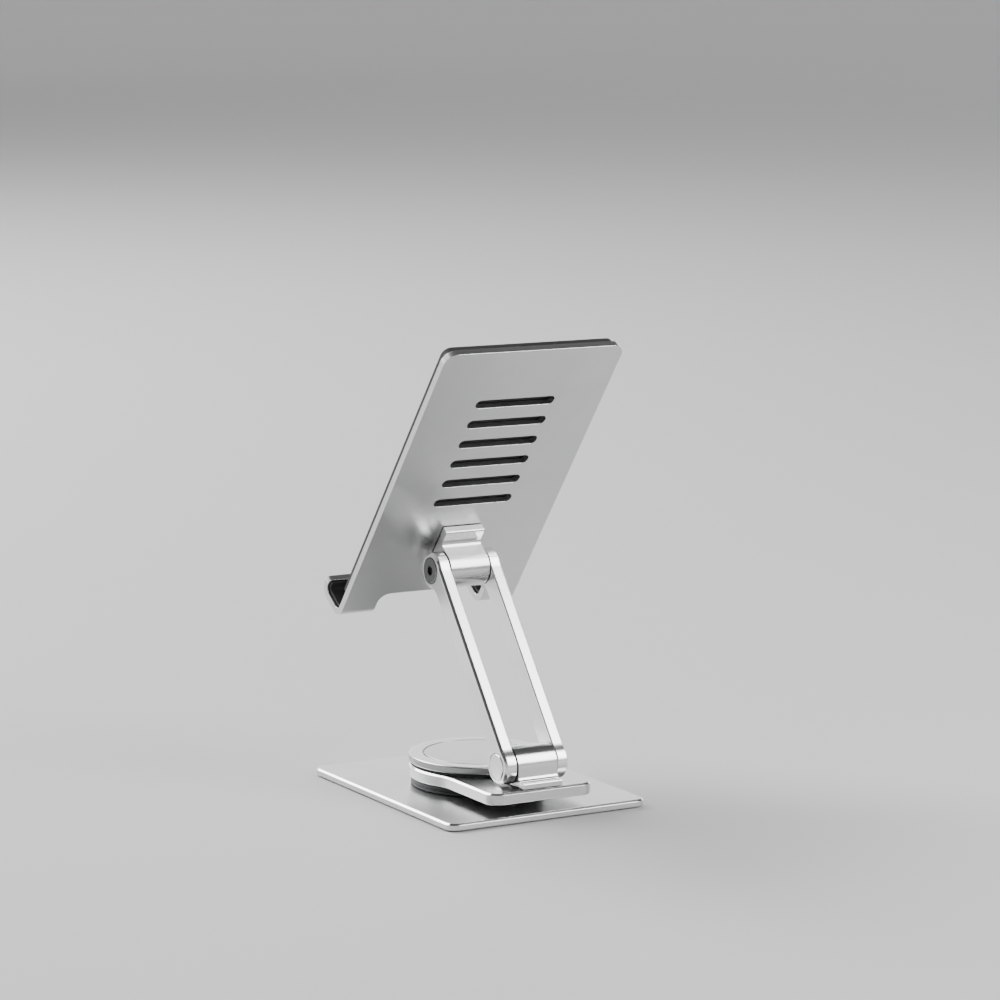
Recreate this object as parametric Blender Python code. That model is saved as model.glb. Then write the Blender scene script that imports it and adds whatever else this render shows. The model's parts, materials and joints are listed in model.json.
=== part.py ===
"""Folding desk stand for a tablet: weighted base plate, swivel platform, two parallel arms and a hooked back
panel, each piece its own object, at real size in metres, +Z up.

The user sits on the -Y side and the panel's back faces +Y. The hinge axes run along X. The origin is the
middle of the base plate on the table, which is also on the swivel axis.
"""
import math

import bmesh
import bpy
from mathutils import Matrix, Vector

for old in list(bpy.data.objects):
    bpy.data.objects.remove(old, do_unlink=True)

MM = 0.001

# ---------------------------------------------------------------- driving dimensions, millimetres
GAP = 0.3                 # clearance between pieces that touch or nest

BASE_W = 76.0             # base plate, along X
BASE_D = 94.0             # base plate, along Y
BASE_T = 2.4
BASE_CORNER_R = 4.0
BASE_CHAMFER = 0.6
FOOT_STAND_OFF = 0.4      # how far the foot pad stands below the plate
FOOT_T = 1.0
FOOT_INSET = 4.0

STUD_R = 4.0              # swivel stud's shoulder
STUD_HEAD_R = 8.0
STUD_HEAD_T = 0.6
STUD_THREAD_R = 3.0
WASHER_R = 7.5
STUD_POCKET_R = WASHER_R + 3.5   # pocket in the platform, with room for a socket wrench on the nut
STUD_POCKET_D = 1.6
WASHER_T = 0.5
NUT_AF = 9.0
NUT_T = 1.6

PLATFORM_R = 23.3
PLATFORM_T = 4.0
PLATFORM_CHAMFER = 0.6
WAIST_DEPTH = 3.3         # how far each side of the tongue stands in from the platform's rim
TONGUE_W = 2 * (PLATFORM_R - WAIST_DEPTH)
TONGUE_MARGIN = 0.8       # tongue past the hinge block's foot
TONGUE_CORNER_R = 5.0
WAIST_FILLET_R = 12.0

RING_R = PLATFORM_R - 0.8        # bearing ring between base and platform
RING_T = 2.3
RING_BORE_R = STUD_HEAD_R + 1.0

CAP_RIM_H = 2.6
CAP_CHAMFER = 0.5
CAP_SKIRT_T = 1.8
CAP_GROOVE_R = PLATFORM_R - 4.9  # fine groove round the inlaid disc
CAP_GROOVE_W = 0.6
CAP_ROOF_T = 1.0
CAP_SHELF_W = 2.5
CAP_DISC_T = 0.8
GASKET_T = 0.4
GASKET_INSET = 0.7
GASKET_W = 2.0

CAP_TO_BLOCK = 1.4        # cap rim to the front of the lower hinge block
ARM_ANGLE = 52.7          # above the table, leaning toward the user
ARM_LENGTH = 73.3         # hinge axis to hinge axis
ARM_T = 4.5
ARM_HUB_R = 6.1
LOWER_AXIS_ABOVE_PLATFORM = ARM_HUB_R + 0.4
ARM_BACK_EDGE = ARM_HUB_R - 0.4  # edge of the bar behind the line of the axes
ARM_FRONT_EDGE = 1.8      # edge of the bar in front of it
ARM_BACK_FILLET_R = 10.0
ARM_FRONT_FILLET_R = 6.0
ARM_CHAMFER = 0.8
ARM_INNER_CHAMFER = 0.3

BARREL_L = 14.8
BARREL_R = ARM_HUB_R + 0.1
LOWER_FOOT_FRONT = BARREL_R + 1.6  # block's foot, from the axis
LOWER_FOOT_BACK = BARREL_R + 3.5
LOWER_FOOT_T = 1.9
UPPER_FOOT_HALF = BARREL_R + 5.7
UPPER_FOOT_T = 2.7
BLOCK_FILLET_R = 1.6
BLOCK_CORNER_R = 1.6
TAP_WALL = 0.6            # metal left between a tapped hole and the axle bore
AXLE_R = 2.6
AXLE_END_BELOW_FACE = 2.1
AXLE_TAP_DEPTH = 4.0
PIN_HEAD_R = ARM_HUB_R - 1.8
PIN_HEAD_T = 1.2
PIN_HEAD_PROUD = 0.2
PIN_SHANK_R = 1.2
PIN_SHANK_L = 2.6
PIN_HEX_AF = 3.0
PIN_HEX_DEPTH = 0.9
THRUST_WASHER_R = AXLE_R + 2.0
THRUST_WASHER_T = 0.5

PANEL_W = 67.8
PANEL_LEAN = 36.2         # from upright, top away from the user
PANEL_T = 2.3
PANEL_TO_AXIS = ARM_HUB_R + 2.4  # panel's back face to the upper hinge axis
PANEL_ABOVE_AXIS = 91.6
PANEL_BELOW_AXIS = 29.9   # down to the underside of the hooks
PANEL_CORNER_R = 4.5
PANEL_CHAMFER = 0.5
HOOK_DEPTH = 15.0         # panel's back face to the lip's outer face
HOOK_BEND_R = 4.5
HOOK_LIP_H = 6.2
HOOK_LIP_CORNER_R = 1.5
NOTCH_W = 42.0            # gap between the hooks
NOTCH_H = 10.8
NOTCH_R = 4.0
SLOT_COUNT = 6
SLOT_W = 30.0
SLOT_H = 3.6
SLOT_PITCH = 9.0
SLOT_FIRST_ABOVE_AXIS = 23.5
PAD_T = 2.9
PAD_INSET = 1.4
PAD_CORNER_R = 3.2
PAD_FOOT_ABOVE_SHELF = 5.0
HOOK_PAD_T = 0.8
HOOK_PAD_INSET = 0.8

SCREW_HEAD_R = 2.3
SCREW_HEAD_T = 1.2
SCREW_SHANK_R = 1.1
SCREW_SOCKET_R = 0.9
SCREW_SOCKET_DEPTH = 0.6
SCREW_SUNK = 0.1
LOWER_SCREW_Y = 4.3       # each side of the axis
UPPER_SCREW_X = 4.2
UPPER_SCREW_Y = 4.0

# ---------------------------------------------------------------- derived levels, millimetres
BASE_BOTTOM = FOOT_STAND_OFF
BASE_TOP = BASE_BOTTOM + BASE_T
FOOT_RECESS_TOP = FOOT_T + GAP
RING_BOTTOM = BASE_TOP + GAP
RING_TOP = RING_BOTTOM + RING_T
PLATFORM_BOTTOM = RING_TOP + GAP
PLATFORM_TOP = PLATFORM_BOTTOM + PLATFORM_T
CAP_BOTTOM = PLATFORM_TOP + GASKET_T + 2 * GAP
CAP_TOP = CAP_BOTTOM + CAP_RIM_H
LOWER_AXIS_Z = PLATFORM_TOP + LOWER_AXIS_ABOVE_PLATFORM
LOWER_AXIS_Y = PLATFORM_R + CAP_TO_BLOCK + LOWER_FOOT_FRONT
TONGUE_END_Y = LOWER_AXIS_Y + LOWER_FOOT_BACK + TONGUE_MARGIN
ARM_INNER_X = BARREL_L / 2 + GAP
ARM_OUTER_X = ARM_INNER_X + ARM_T
AXLE_BORE_R = AXLE_R + GAP
LOWER_FOOT_H = LOWER_AXIS_ABOVE_PLATFORM - GAP      # block's underside to its axis
UPPER_FOOT_H = PANEL_TO_AXIS - GAP
LOWER_TAP = LOWER_FOOT_H - AXLE_BORE_R - TAP_WALL
UPPER_TAP = UPPER_FOOT_H - AXLE_BORE_R - TAP_WALL


# ---------------------------------------------------------------- helpers
def material(name, color, metallic, roughness):
    mat = bpy.data.materials.new(name)
    mat.use_nodes = True
    bsdf = mat.node_tree.nodes["Principled BSDF"]
    bsdf.inputs["Base Color"].default_value = (*color, 1.0)
    bsdf.inputs["Metallic"].default_value = metallic
    bsdf.inputs["Roughness"].default_value = roughness
    mat.diffuse_color = (*color, 1.0)
    return mat


def arc(cx, cy, r, a0, a1, steps):
    """Points on an arc in degrees, both ends included."""
    out = []
    for i in range(steps + 1):
        a = math.radians(a0 + (a1 - a0) * i / steps)
        out.append((cx + r * math.cos(a), cy + r * math.sin(a)))
    return out


def rounded_rect(w, d, r, steps=6):
    x = w / 2 - r
    y = d / 2 - r
    pts = []
    for cx, cy, a0 in ((x, y, 0), (-x, y, 90), (-x, -y, 180), (x, -y, 270)):
        pts += arc(cx, cy, r, a0, a0 + 90, steps)
    return pts


def finish(name, bm, mat, parent=None, matrix=None, smooth=True):
    """Turn a bmesh in millimetres into an object in metres."""
    bmesh.ops.remove_doubles(bm, verts=bm.verts, dist=1e-5)
    bmesh.ops.recalc_face_normals(bm, faces=bm.faces)
    bmesh.ops.scale(bm, vec=(MM, MM, MM), verts=bm.verts)
    mesh = bpy.data.meshes.new(name)
    bm.to_mesh(mesh)
    bm.free()
    if smooth:
        mesh.shade_smooth()
        mesh.set_sharp_from_angle(angle=math.radians(30))
    obj = bpy.data.objects.new(name, mesh)
    bpy.context.scene.collection.objects.link(obj)
    if mat is not None:
        mesh.materials.append(mat)
    obj.parent = parent
    if matrix is not None:
        obj.matrix_local = matrix
    return obj


def extrude_outline(pts, h0, h1, axis="Z"):
    """Solid between two levels along an axis: Z takes (x, y) points, X takes (y, z) and Y takes (x, z)."""
    loop = []
    for p in pts:
        if not loop or math.dist(p, loop[-1]) > 1e-4:
            loop.append(p)
    if math.dist(loop[0], loop[-1]) < 1e-4:
        loop.pop()
    order = {"Z": lambda a, b, h: (a, b, h), "X": lambda a, b, h: (h, a, b), "Y": lambda a, b, h: (a, h, b)}[axis]
    bm = bmesh.new()
    face = bm.faces.new([bm.verts.new(order(a, b, h0)) for a, b in loop])
    grown = bmesh.ops.extrude_face_region(bm, geom=[face])
    top = [g for g in grown["geom"] if isinstance(g, bmesh.types.BMVert)]
    bmesh.ops.translate(bm, verts=top, vec=order(0, 0, h1 - h0))
    bmesh.ops.recalc_face_normals(bm, faces=bm.faces)
    return bm


def turn(profile, steps=48, center=(0.0, 0.0), axis="Z"):
    """Solid of revolution from (radius, height) points; ends on the axis close there, or the loop closes."""
    bm = bmesh.new()
    verts = [bm.verts.new((r, 0, z)) for r, z in profile]
    edges = [bm.edges.new((verts[i], verts[i + 1])) for i in range(len(verts) - 1)]
    if profile[0][0] > 1e-9:
        edges.append(bm.edges.new((verts[-1], verts[0])))
    bmesh.ops.spin(bm, geom=verts + edges, cent=(0, 0, 0), axis=(0, 0, 1), angle=2 * math.pi,
                   steps=steps, use_merge=True)
    bmesh.ops.remove_doubles(bm, verts=bm.verts, dist=1e-5)
    bmesh.ops.recalc_face_normals(bm, faces=bm.faces)
    if axis == "X":
        bmesh.ops.rotate(bm, verts=bm.verts, cent=(0, 0, 0), matrix=Matrix.Rotation(math.pi / 2, 3, "Y"))
    bmesh.ops.translate(bm, verts=bm.verts, vec=(center[0], center[1], 0) if axis == "Z" else (0, *center))
    return bm


def prism(sides, radius, h0, h1, turn_deg=0.0):
    return extrude_outline([(radius * math.cos(math.radians(turn_deg + 360 * i / sides)),
                             radius * math.sin(math.radians(turn_deg + 360 * i / sides)))
                            for i in range(sides)], h0, h1)


def bevel_edges(bm, test, width, segments=1):
    edges = [e for e in bm.edges if test(e)]
    bmesh.ops.bevel(bm, geom=edges, offset=width, offset_type="OFFSET", segments=segments, profile=0.5,
                    affect="EDGES", clamp_overlap=True)


def both(edge, axis, level):
    """True where both ends of the edge lie on one level along an axis."""
    return all(abs(v.co[axis] - level) < 1e-4 for v in edge.verts)


def cut(obj, *cutters):
    for tool in cutters:
        tool.hide_render = True
        tool.hide_viewport = False
        tool.display_type = "WIRE"
        mod = obj.modifiers.new("cut_" + tool.name, "BOOLEAN")
        mod.operation = "DIFFERENCE"
        mod.solver = "EXACT"
        mod.object = tool


def cutter(name, bm, parent=None, matrix=None):
    obj = finish("cutter_" + name, bm, None, parent, matrix, smooth=False)
    obj.hide_render = True
    obj.display_type = "WIRE"
    return obj


def empty(name, parent, location, turn_x_deg):
    obj = bpy.data.objects.new(name, None)
    bpy.context.scene.collection.objects.link(obj)
    obj.parent = parent
    obj.location = Vector(location) * MM
    obj.rotation_euler = (math.radians(turn_x_deg), 0, 0)
    return obj


def place(x=0.0, y=0.0, z=0.0, rot=None):
    mat = Matrix.Translation(Vector((x, y, z)) * MM)
    return mat @ rot.to_4x4() if rot is not None else mat


def concave_fillet(r, line, fillet):
    """Fillet between a circle at (0, 0) and the line y = line outside it, on the +x side.

    Returns its centre, the angle of its touching point on the circle, and x where it meets the line.
    """
    cy = line + fillet
    cx = math.sqrt((r + fillet) ** 2 - cy ** 2)
    return cx, cy, math.degrees(math.atan2(cy, cx))


# ---------------------------------------------------------------- materials
ALU = material("anodised_aluminium", (0.60, 0.61, 0.62), 1.0, 0.36)
ALU_POLISHED = material("polished_aluminium", (0.72, 0.73, 0.74), 1.0, 0.24)
STEEL = material("stainless_steel", (0.52, 0.53, 0.54), 1.0, 0.28)
DARK_STEEL = material("black_steel", (0.09, 0.09, 0.10), 0.9, 0.40)
SILICONE = material("black_silicone", (0.018, 0.018, 0.019), 0.0, 0.62)
POM = material("black_bearing_plastic", (0.02, 0.02, 0.022), 0.0, 0.42)

# ---------------------------------------------------------------- frames
swivel = empty("swivel_axis", None, (0, 0, 0), 0)
lower = empty("lower_hinge_axis", swivel, (0, LOWER_AXIS_Y, LOWER_AXIS_Z), 180 - ARM_ANGLE)
upper = empty("upper_hinge_axis", lower, (0, ARM_LENGTH, 0), ARM_ANGLE - 180 - PANEL_LEAN)

# ---------------------------------------------------------------- base plate, foot pad and swivel stud
bm = extrude_outline(rounded_rect(BASE_W, BASE_D, BASE_CORNER_R), BASE_BOTTOM, BASE_TOP)
bevel_edges(bm, lambda e: both(e, 2, BASE_TOP), BASE_CHAMFER)
bevel_edges(bm, lambda e: both(e, 2, BASE_BOTTOM), 0.25)
base = finish("base_plate", bm, ALU)

foot_w = BASE_W - 2 * FOOT_INSET
foot_d = BASE_D - 2 * FOOT_INSET
bm = extrude_outline(rounded_rect(foot_w, foot_d, BASE_CORNER_R), 0.0, FOOT_T)
bevel_edges(bm, lambda e: both(e, 2, 0.0), 0.2)
finish("foot_pad", bm, SILICONE)

head_pocket_top = FOOT_RECESS_TOP + STUD_HEAD_T + GAP
cut(base,
    cutter("foot_recess", extrude_outline(
        rounded_rect(foot_w + 2 * GAP, foot_d + 2 * GAP, BASE_CORNER_R + GAP), -1.0, FOOT_RECESS_TOP)),
    cutter("stud_hole", turn([(0, -1.0), (STUD_HEAD_R + GAP, -1.0), (STUD_HEAD_R + GAP, head_pocket_top),
                              (STUD_R + GAP, head_pocket_top), (STUD_R + GAP, BASE_TOP + 1.0),
                              (0, BASE_TOP + 1.0)], 24)))

pocket_floor = PLATFORM_TOP - STUD_POCKET_D
washer_bottom = pocket_floor + GAP
nut_bottom = washer_bottom + WASHER_T + GAP
nut_top = nut_bottom + NUT_T
finish("swivel_stud", turn([(0, FOOT_RECESS_TOP), (STUD_HEAD_R, FOOT_RECESS_TOP),
                            (STUD_HEAD_R, FOOT_RECESS_TOP + STUD_HEAD_T),
                            (STUD_R, FOOT_RECESS_TOP + STUD_HEAD_T), (STUD_R, pocket_floor),
                            (STUD_THREAD_R, pocket_floor), (STUD_THREAD_R, nut_top), (0, nut_top)], 24),
       STEEL)

# ---------------------------------------------------------------- bearing ring and swivel platform
finish("bearing_ring", turn([(RING_BORE_R, RING_BOTTOM), (RING_R, RING_BOTTOM), (RING_R, RING_TOP),
                             (RING_BORE_R, RING_TOP)], 48), POM)

half = TONGUE_W / 2
waist_y, waist_x, _ = concave_fillet(PLATFORM_R, half, WAIST_FILLET_R)
waist = math.degrees(math.atan2(waist_y, waist_x))
corner_x = half - TONGUE_CORNER_R
corner_y = TONGUE_END_Y - TONGUE_CORNER_R
outline = arc(0, 0, PLATFORM_R, 180 - waist, 360 + waist, 44)
outline += arc(waist_x, waist_y, WAIST_FILLET_R, 180 + waist, 180, 5)
outline += arc(corner_x, corner_y, TONGUE_CORNER_R, 0, 90, 6)
outline += arc(-corner_x, corner_y, TONGUE_CORNER_R, 90, 180, 6)
outline += arc(-waist_x, waist_y, WAIST_FILLET_R, 0, -waist, 5)
bm = extrude_outline(outline, PLATFORM_BOTTOM, PLATFORM_TOP)
bevel_edges(bm, lambda e: both(e, 2, PLATFORM_TOP), PLATFORM_CHAMFER)
bevel_edges(bm, lambda e: both(e, 2, PLATFORM_BOTTOM), 0.3)
platform = finish("swivel_platform", bm, ALU_POLISHED, swivel)
cut(platform, cutter("stud_bore", turn([(0, PLATFORM_BOTTOM - 1), (STUD_R + GAP, PLATFORM_BOTTOM - 1),
                                        (STUD_R + GAP, pocket_floor), (STUD_POCKET_R, pocket_floor),
                                        (STUD_POCKET_R, PLATFORM_TOP + 1), (0, PLATFORM_TOP + 1)], 24), swivel))

thread_clear = STUD_THREAD_R + GAP
finish("wave_washer", turn([(STUD_R + GAP, washer_bottom), (WASHER_R, washer_bottom),
                            (WASHER_R, washer_bottom + WASHER_T),
                            (STUD_R + GAP, washer_bottom + WASHER_T)], 24), DARK_STEEL)
nut = finish("lock_nut", prism(6, NUT_AF / math.sqrt(3), nut_bottom, nut_top), STEEL, smooth=False)
cut(nut, cutter("nut_bore", turn([(0, nut_bottom - 1), (thread_clear, nut_bottom - 1),
                                  (thread_clear, nut_top + 1), (0, nut_top + 1)], 24)))

# ---------------------------------------------------------------- cap: gasket, rimmed ring and inlaid disc
gasket_r = PLATFORM_R - GASKET_INSET
gasket_z = PLATFORM_TOP + GAP
finish("cap_gasket", turn([(gasket_r - GASKET_W, gasket_z), (gasket_r, gasket_z),
                           (gasket_r, gasket_z + GASKET_T), (gasket_r - GASKET_W, gasket_z + GASKET_T)], 48),
       SILICONE, swivel)
disc_r = CAP_GROOVE_R - CAP_GROOVE_W / 2
seat_r = CAP_GROOVE_R + CAP_GROOVE_W / 2
seat_z = CAP_TOP - CAP_DISC_T - GAP
skirt_r = PLATFORM_R - CAP_SKIRT_T
finish("cap_ring", turn([(seat_r, CAP_TOP), (seat_r, seat_z), (seat_r - CAP_SHELF_W, seat_z),
                         (seat_r - CAP_SHELF_W, seat_z - CAP_ROOF_T), (skirt_r, seat_z - CAP_ROOF_T),
                         (skirt_r, CAP_BOTTOM), (PLATFORM_R, CAP_BOTTOM),
                         (PLATFORM_R, CAP_TOP - CAP_CHAMFER), (PLATFORM_R - CAP_CHAMFER, CAP_TOP)], 56),
       ALU_POLISHED, swivel)
finish("cap_disc", turn([(0, CAP_TOP - CAP_DISC_T), (disc_r, CAP_TOP - CAP_DISC_T),
                         (disc_r, CAP_TOP - 0.15), (disc_r - 0.15, CAP_TOP), (0, CAP_TOP)], 56),
       ALU, swivel)


# ---------------------------------------------------------------- hinge blocks and their hardware
def block_outline(axis_h, foot_t, foot_front, foot_back):
    """Side profile (y, z) of a barrel standing on a foot, with the barrel's axis at (0, 0)."""
    bottom = -axis_h
    top = bottom + foot_t
    end_r = min(0.6, foot_t / 2)

    def half_profile(foot):
        fillet = min(BLOCK_FILLET_R, foot - end_r - BARREL_R)
        pts = [(foot, bottom)]
        pts += arc(foot - end_r, top - end_r, end_r, 0, 90, 3)
        pts += arc(BARREL_R + fillet, top + fillet, fillet, 270, 180, 4)
        return pts + arc(0, 0, BARREL_R, 0, 90, 10)

    return half_profile(foot_back) + [(-y, z) for y, z in reversed(half_profile(foot_front))]


def hinge_block(name, axis_h, foot_t, foot_front, foot_back, taps, tap_depth, parent, matrix):
    """Barrel and foot in one piece, bored for the axle and tapped from below at the (x, y) points."""
    end = BARREL_L / 2
    bm = extrude_outline(block_outline(axis_h, foot_t, foot_front, foot_back), -end, end, "X")

    def foot_corner(e):
        return (abs(e.verts[0].co.x - e.verts[1].co.x) < 1e-4 and abs(abs(e.verts[0].co.x) - end) < 1e-4
                and (both(e, 1, foot_back) or both(e, 1, -foot_front)))

    bevel_edges(bm, foot_corner, min(BLOCK_CORNER_R, foot_front - BARREL_R), 3)
    block = finish(name, bm, ALU_POLISHED, parent, matrix)
    seat = THRUST_WASHER_T + GAP
    seat_r = THRUST_WASHER_R + GAP
    cut(block, cutter(name + "_bore", turn(
        [(0, -end - 1), (seat_r, -end - 1), (seat_r, -end + seat), (AXLE_BORE_R, -end + seat),
         (AXLE_BORE_R, end - seat), (seat_r, end - seat), (seat_r, end + 1), (0, end + 1)],
        24, axis="X"), parent, matrix))
    for i, (x, y) in enumerate(taps):
        r = SCREW_SHANK_R + GAP
        bm = turn([(0, -axis_h - 1), (r, -axis_h - 1), (r, -axis_h + tap_depth), (0, -axis_h + tap_depth)],
                  16, center=(x, y))
        cut(block, cutter("%s_tap_%d" % (name, i + 1), bm, parent, matrix))
    return block


def half_turn(bm):
    bmesh.ops.rotate(bm, verts=bm.verts, cent=(0, 0, 0), matrix=Matrix.Rotation(math.pi, 3, "Z"))


def hinge_hardware(prefix, parent, plain_side=None):
    """Axle, end screws and thrust washers round the parent's X axis; the head on plain_side has no socket."""
    end = ARM_OUTER_X - AXLE_END_BELOW_FACE
    axle = finish(prefix + "_axle", turn([(0, -end), (AXLE_R - 0.2, -end), (AXLE_R, -end + 0.2),
                                          (AXLE_R, end - 0.2), (AXLE_R - 0.2, end), (0, end)], 20, axis="X"),
                  STEEL, parent)
    face = ARM_OUTER_X + PIN_HEAD_PROUD
    under = face - PIN_HEAD_T
    tap_r = PIN_SHANK_R + GAP
    washer_in = BARREL_L / 2 - THRUST_WASHER_T
    for side, flip in (("left", False), ("right", True)):
        tap = turn([(0, end - AXLE_TAP_DEPTH), (tap_r, end - AXLE_TAP_DEPTH), (tap_r, end + 1), (0, end + 1)],
                   16, axis="X")
        screw = turn([(0, under - PIN_SHANK_L), (PIN_SHANK_R, under - PIN_SHANK_L), (PIN_SHANK_R, under),
                      (PIN_HEAD_R, under), (PIN_HEAD_R, face - 0.3), (PIN_HEAD_R - 0.3, face), (0, face)],
                     24, axis="X")
        washer = turn([(AXLE_BORE_R, washer_in), (THRUST_WASHER_R, washer_in),
                       (THRUST_WASHER_R, washer_in + THRUST_WASHER_T),
                       (AXLE_BORE_R, washer_in + THRUST_WASHER_T)], 20, axis="X")
        if flip:
            for piece in (tap, screw, washer):
                half_turn(piece)
        cut(axle, cutter("%s_axle_tap_%s" % (prefix, side), tap, parent))
        head = finish("%s_end_screw_%s" % (prefix, side), screw, STEEL, parent)
        if side != plain_side:
            socket = prism(6, PIN_HEX_AF / math.sqrt(3), face - PIN_HEX_DEPTH, face + 1)
            turn_to_side = Matrix.Rotation(-math.pi / 2 if flip else math.pi / 2, 3, "Y")
            bmesh.ops.rotate(socket, verts=socket.verts, cent=(0, 0, 0), matrix=turn_to_side)
            cut(head, cutter("%s_socket_%s" % (prefix, side), socket, parent))
        finish("%s_thrust_washer_%s" % (prefix, side), washer, DARK_STEEL, parent)


def flat_screw(name, length, parent, matrix):
    """Countersunk screw with its head face at z = 0, facing -Z, and its shank up +Z."""
    body = finish(name, turn([(0, 0), (SCREW_HEAD_R, 0), (SCREW_SHANK_R, SCREW_HEAD_T),
                              (SCREW_SHANK_R, length), (0, length)], 14), DARK_STEEL, parent, matrix)
    cut(body, cutter(name + "_socket", prism(6, SCREW_SOCKET_R, -1, SCREW_SOCKET_DEPTH), parent, matrix))


def flat_screw_hole(name, through, parent, matrix):
    """Countersink and clearance hole for flat_screw, running from below z = 0 up to z = through."""
    slope = (SCREW_HEAD_R - SCREW_SHANK_R) / SCREW_HEAD_T
    mouth = SCREW_HEAD_R + GAP * math.hypot(1, slope)
    shank = SCREW_SHANK_R + GAP
    cone_end = (mouth - shank) / slope
    return cutter(name, turn([(0, -1), (mouth, -1), (mouth, 0), (shank, cone_end), (shank, through),
                              (0, through)], 14), parent, matrix)


# ---------------------------------------------------------------- lower hinge on the platform's tongue
lower_at = place(0, LOWER_AXIS_Y, LOWER_AXIS_Z)
lower_taps = [(0.0, -LOWER_SCREW_Y), (0.0, LOWER_SCREW_Y)]
hinge_block("lower_hinge_block", LOWER_FOOT_H, LOWER_FOOT_T, LOWER_FOOT_FRONT, LOWER_FOOT_BACK,
            lower_taps, LOWER_TAP, swivel, lower_at)
for i, (x, y) in enumerate(lower_taps):
    at = place(x, LOWER_AXIS_Y + y, PLATFORM_BOTTOM + SCREW_SUNK)
    flat_screw("lower_block_screw_%d" % (i + 1), PLATFORM_T - SCREW_SUNK + LOWER_TAP, swivel, at)
    cut(platform, flat_screw_hole("platform_screw_hole_%d" % (i + 1), PLATFORM_T + 1, swivel, at))
hinge_hardware("lower", lower, plain_side="left")


# ---------------------------------------------------------------- arms
def arm_outline():
    """(y, z) outline of an arm: y from the lower to the upper axis, +z toward its front edge."""
    fx, fy, fa = concave_fillet(ARM_HUB_R, ARM_FRONT_EDGE, ARM_FRONT_FILLET_R)
    bx, by, ba = concave_fillet(ARM_HUB_R, ARM_BACK_EDGE, ARM_BACK_FILLET_R)
    pts = arc(0, 0, ARM_HUB_R, fa, 360 - ba, 22)
    pts += arc(bx, -by, ARM_BACK_FILLET_R, 180 - ba, 90, 3)
    pts += arc(ARM_LENGTH - bx, -by, ARM_BACK_FILLET_R, 90, ba, 3)
    pts += arc(ARM_LENGTH, 0, ARM_HUB_R, -180 + ba, 180 - fa, 22)
    pts += arc(ARM_LENGTH - fx, fy, ARM_FRONT_FILLET_R, -fa, -90, 5)
    pts += arc(fx, fy, ARM_FRONT_FILLET_R, -90, -180 + fa, 5)
    return pts


head_floor = ARM_OUTER_X + PIN_HEAD_PROUD - PIN_HEAD_T - GAP
for side, sign in (("left", 1), ("right", -1)):
    bm = extrude_outline(arm_outline(), sign * ARM_INNER_X, sign * ARM_OUTER_X, "X")
    bevel_edges(bm, lambda e: both(e, 0, sign * ARM_OUTER_X), ARM_CHAMFER)
    bevel_edges(bm, lambda e: both(e, 0, sign * ARM_INNER_X), ARM_INNER_CHAMFER)
    arm = finish("arm_" + side, bm, ALU_POLISHED, lower)
    for end, y in (("lower", 0.0), ("upper", ARM_LENGTH)):
        bm = turn([(0, ARM_INNER_X - 1), (AXLE_BORE_R, ARM_INNER_X - 1), (AXLE_BORE_R, head_floor),
                   (PIN_HEAD_R + GAP, head_floor), (PIN_HEAD_R + GAP, ARM_OUTER_X + 1),
                   (0, ARM_OUTER_X + 1)], 24, axis="X")
        if sign < 0:
            half_turn(bm)
        cut(arm, cutter("arm_%s_bore_%s" % (side, end), bm, lower, place(0, y, 0)))

# ---------------------------------------------------------------- upper hinge and back panel
hinge_hardware("upper", upper)
# the block's foot faces the panel: block +Z is the panel's +Y, block +Y is down the panel
upper_turn = Matrix(((1, 0, 0), (0, 0, 1), (0, -1, 0)))
upper_at = place(rot=upper_turn)
upper_taps = [(x, y) for y in (-UPPER_SCREW_Y, UPPER_SCREW_Y) for x in (-UPPER_SCREW_X, UPPER_SCREW_X)]
hinge_block("upper_hinge_block", UPPER_FOOT_H, UPPER_FOOT_T, UPPER_FOOT_HALF, UPPER_FOOT_HALF,
            upper_taps, UPPER_TAP, upper, upper_at)

back = -PANEL_TO_AXIS
front = back - PANEL_T
lip = back - HOOK_DEPTH
top = PANEL_ABOVE_AXIS
shelf = -PANEL_BELOW_AXIS
bend_z = shelf + HOOK_BEND_R
bend_back = back - HOOK_BEND_R
bend_front = lip + HOOK_BEND_R
inner_r = HOOK_BEND_R - PANEL_T
lip_top = shelf + HOOK_LIP_H


def hook_line(offset, panel_top, lip_end):
    """(y, z) points along the panel, shelf and lip, at a distance inside the outer face."""
    r = HOOK_BEND_R - offset
    pts = [(back - offset, panel_top)]
    pts += arc(bend_back, bend_z, r, 0, -90, 6)
    pts += arc(bend_front, bend_z, r, -90, -180, 6)
    pts += [(lip + offset, lip_end)]
    return pts


def on_outer(v):
    y = v.co.y
    z = v.co.z
    if z > bend_z - 1e-4:
        return abs(y - back) < 1e-4 or abs(y - lip) < 1e-4
    if bend_front <= y <= bend_back:
        return abs(z - shelf) < 1e-4
    corner = bend_back if y > bend_back else bend_front
    return abs(math.hypot(y - corner, z - bend_z) - HOOK_BEND_R) < 1e-3


half_w = PANEL_W / 2
bm = extrude_outline(hook_line(0, top, lip_top) + hook_line(PANEL_T, top, lip_top)[::-1], -half_w, half_w, "X")


def across(e, z):
    """True for an edge through the sheet at a panel side, at height z."""
    return (both(e, 2, z) and abs(e.verts[0].co.x - e.verts[1].co.x) < 1e-4
            and abs(abs(e.verts[0].co.x) - half_w) < 1e-4)


bevel_edges(bm, lambda e: across(e, top), PANEL_CORNER_R, 6)
bevel_edges(bm, lambda e: across(e, lip_top), HOOK_LIP_CORNER_R, 3)
bevel_edges(bm, lambda e: on_outer(e.verts[0]) and on_outer(e.verts[1]) and len(e.link_faces) == 2
            and e.calc_face_angle(0) > math.radians(50), PANEL_CHAMFER)
panel = finish("back_panel", bm, ALU, upper)


def notch_outline(w, h, r):
    x = w / 2 - r
    z = shelf + h - r
    return arc(x, z, r, 0, 90, 6) + arc(-x, z, r, 90, 180, 6) + [(-w / 2, shelf - 5), (w / 2, shelf - 5)]


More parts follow.
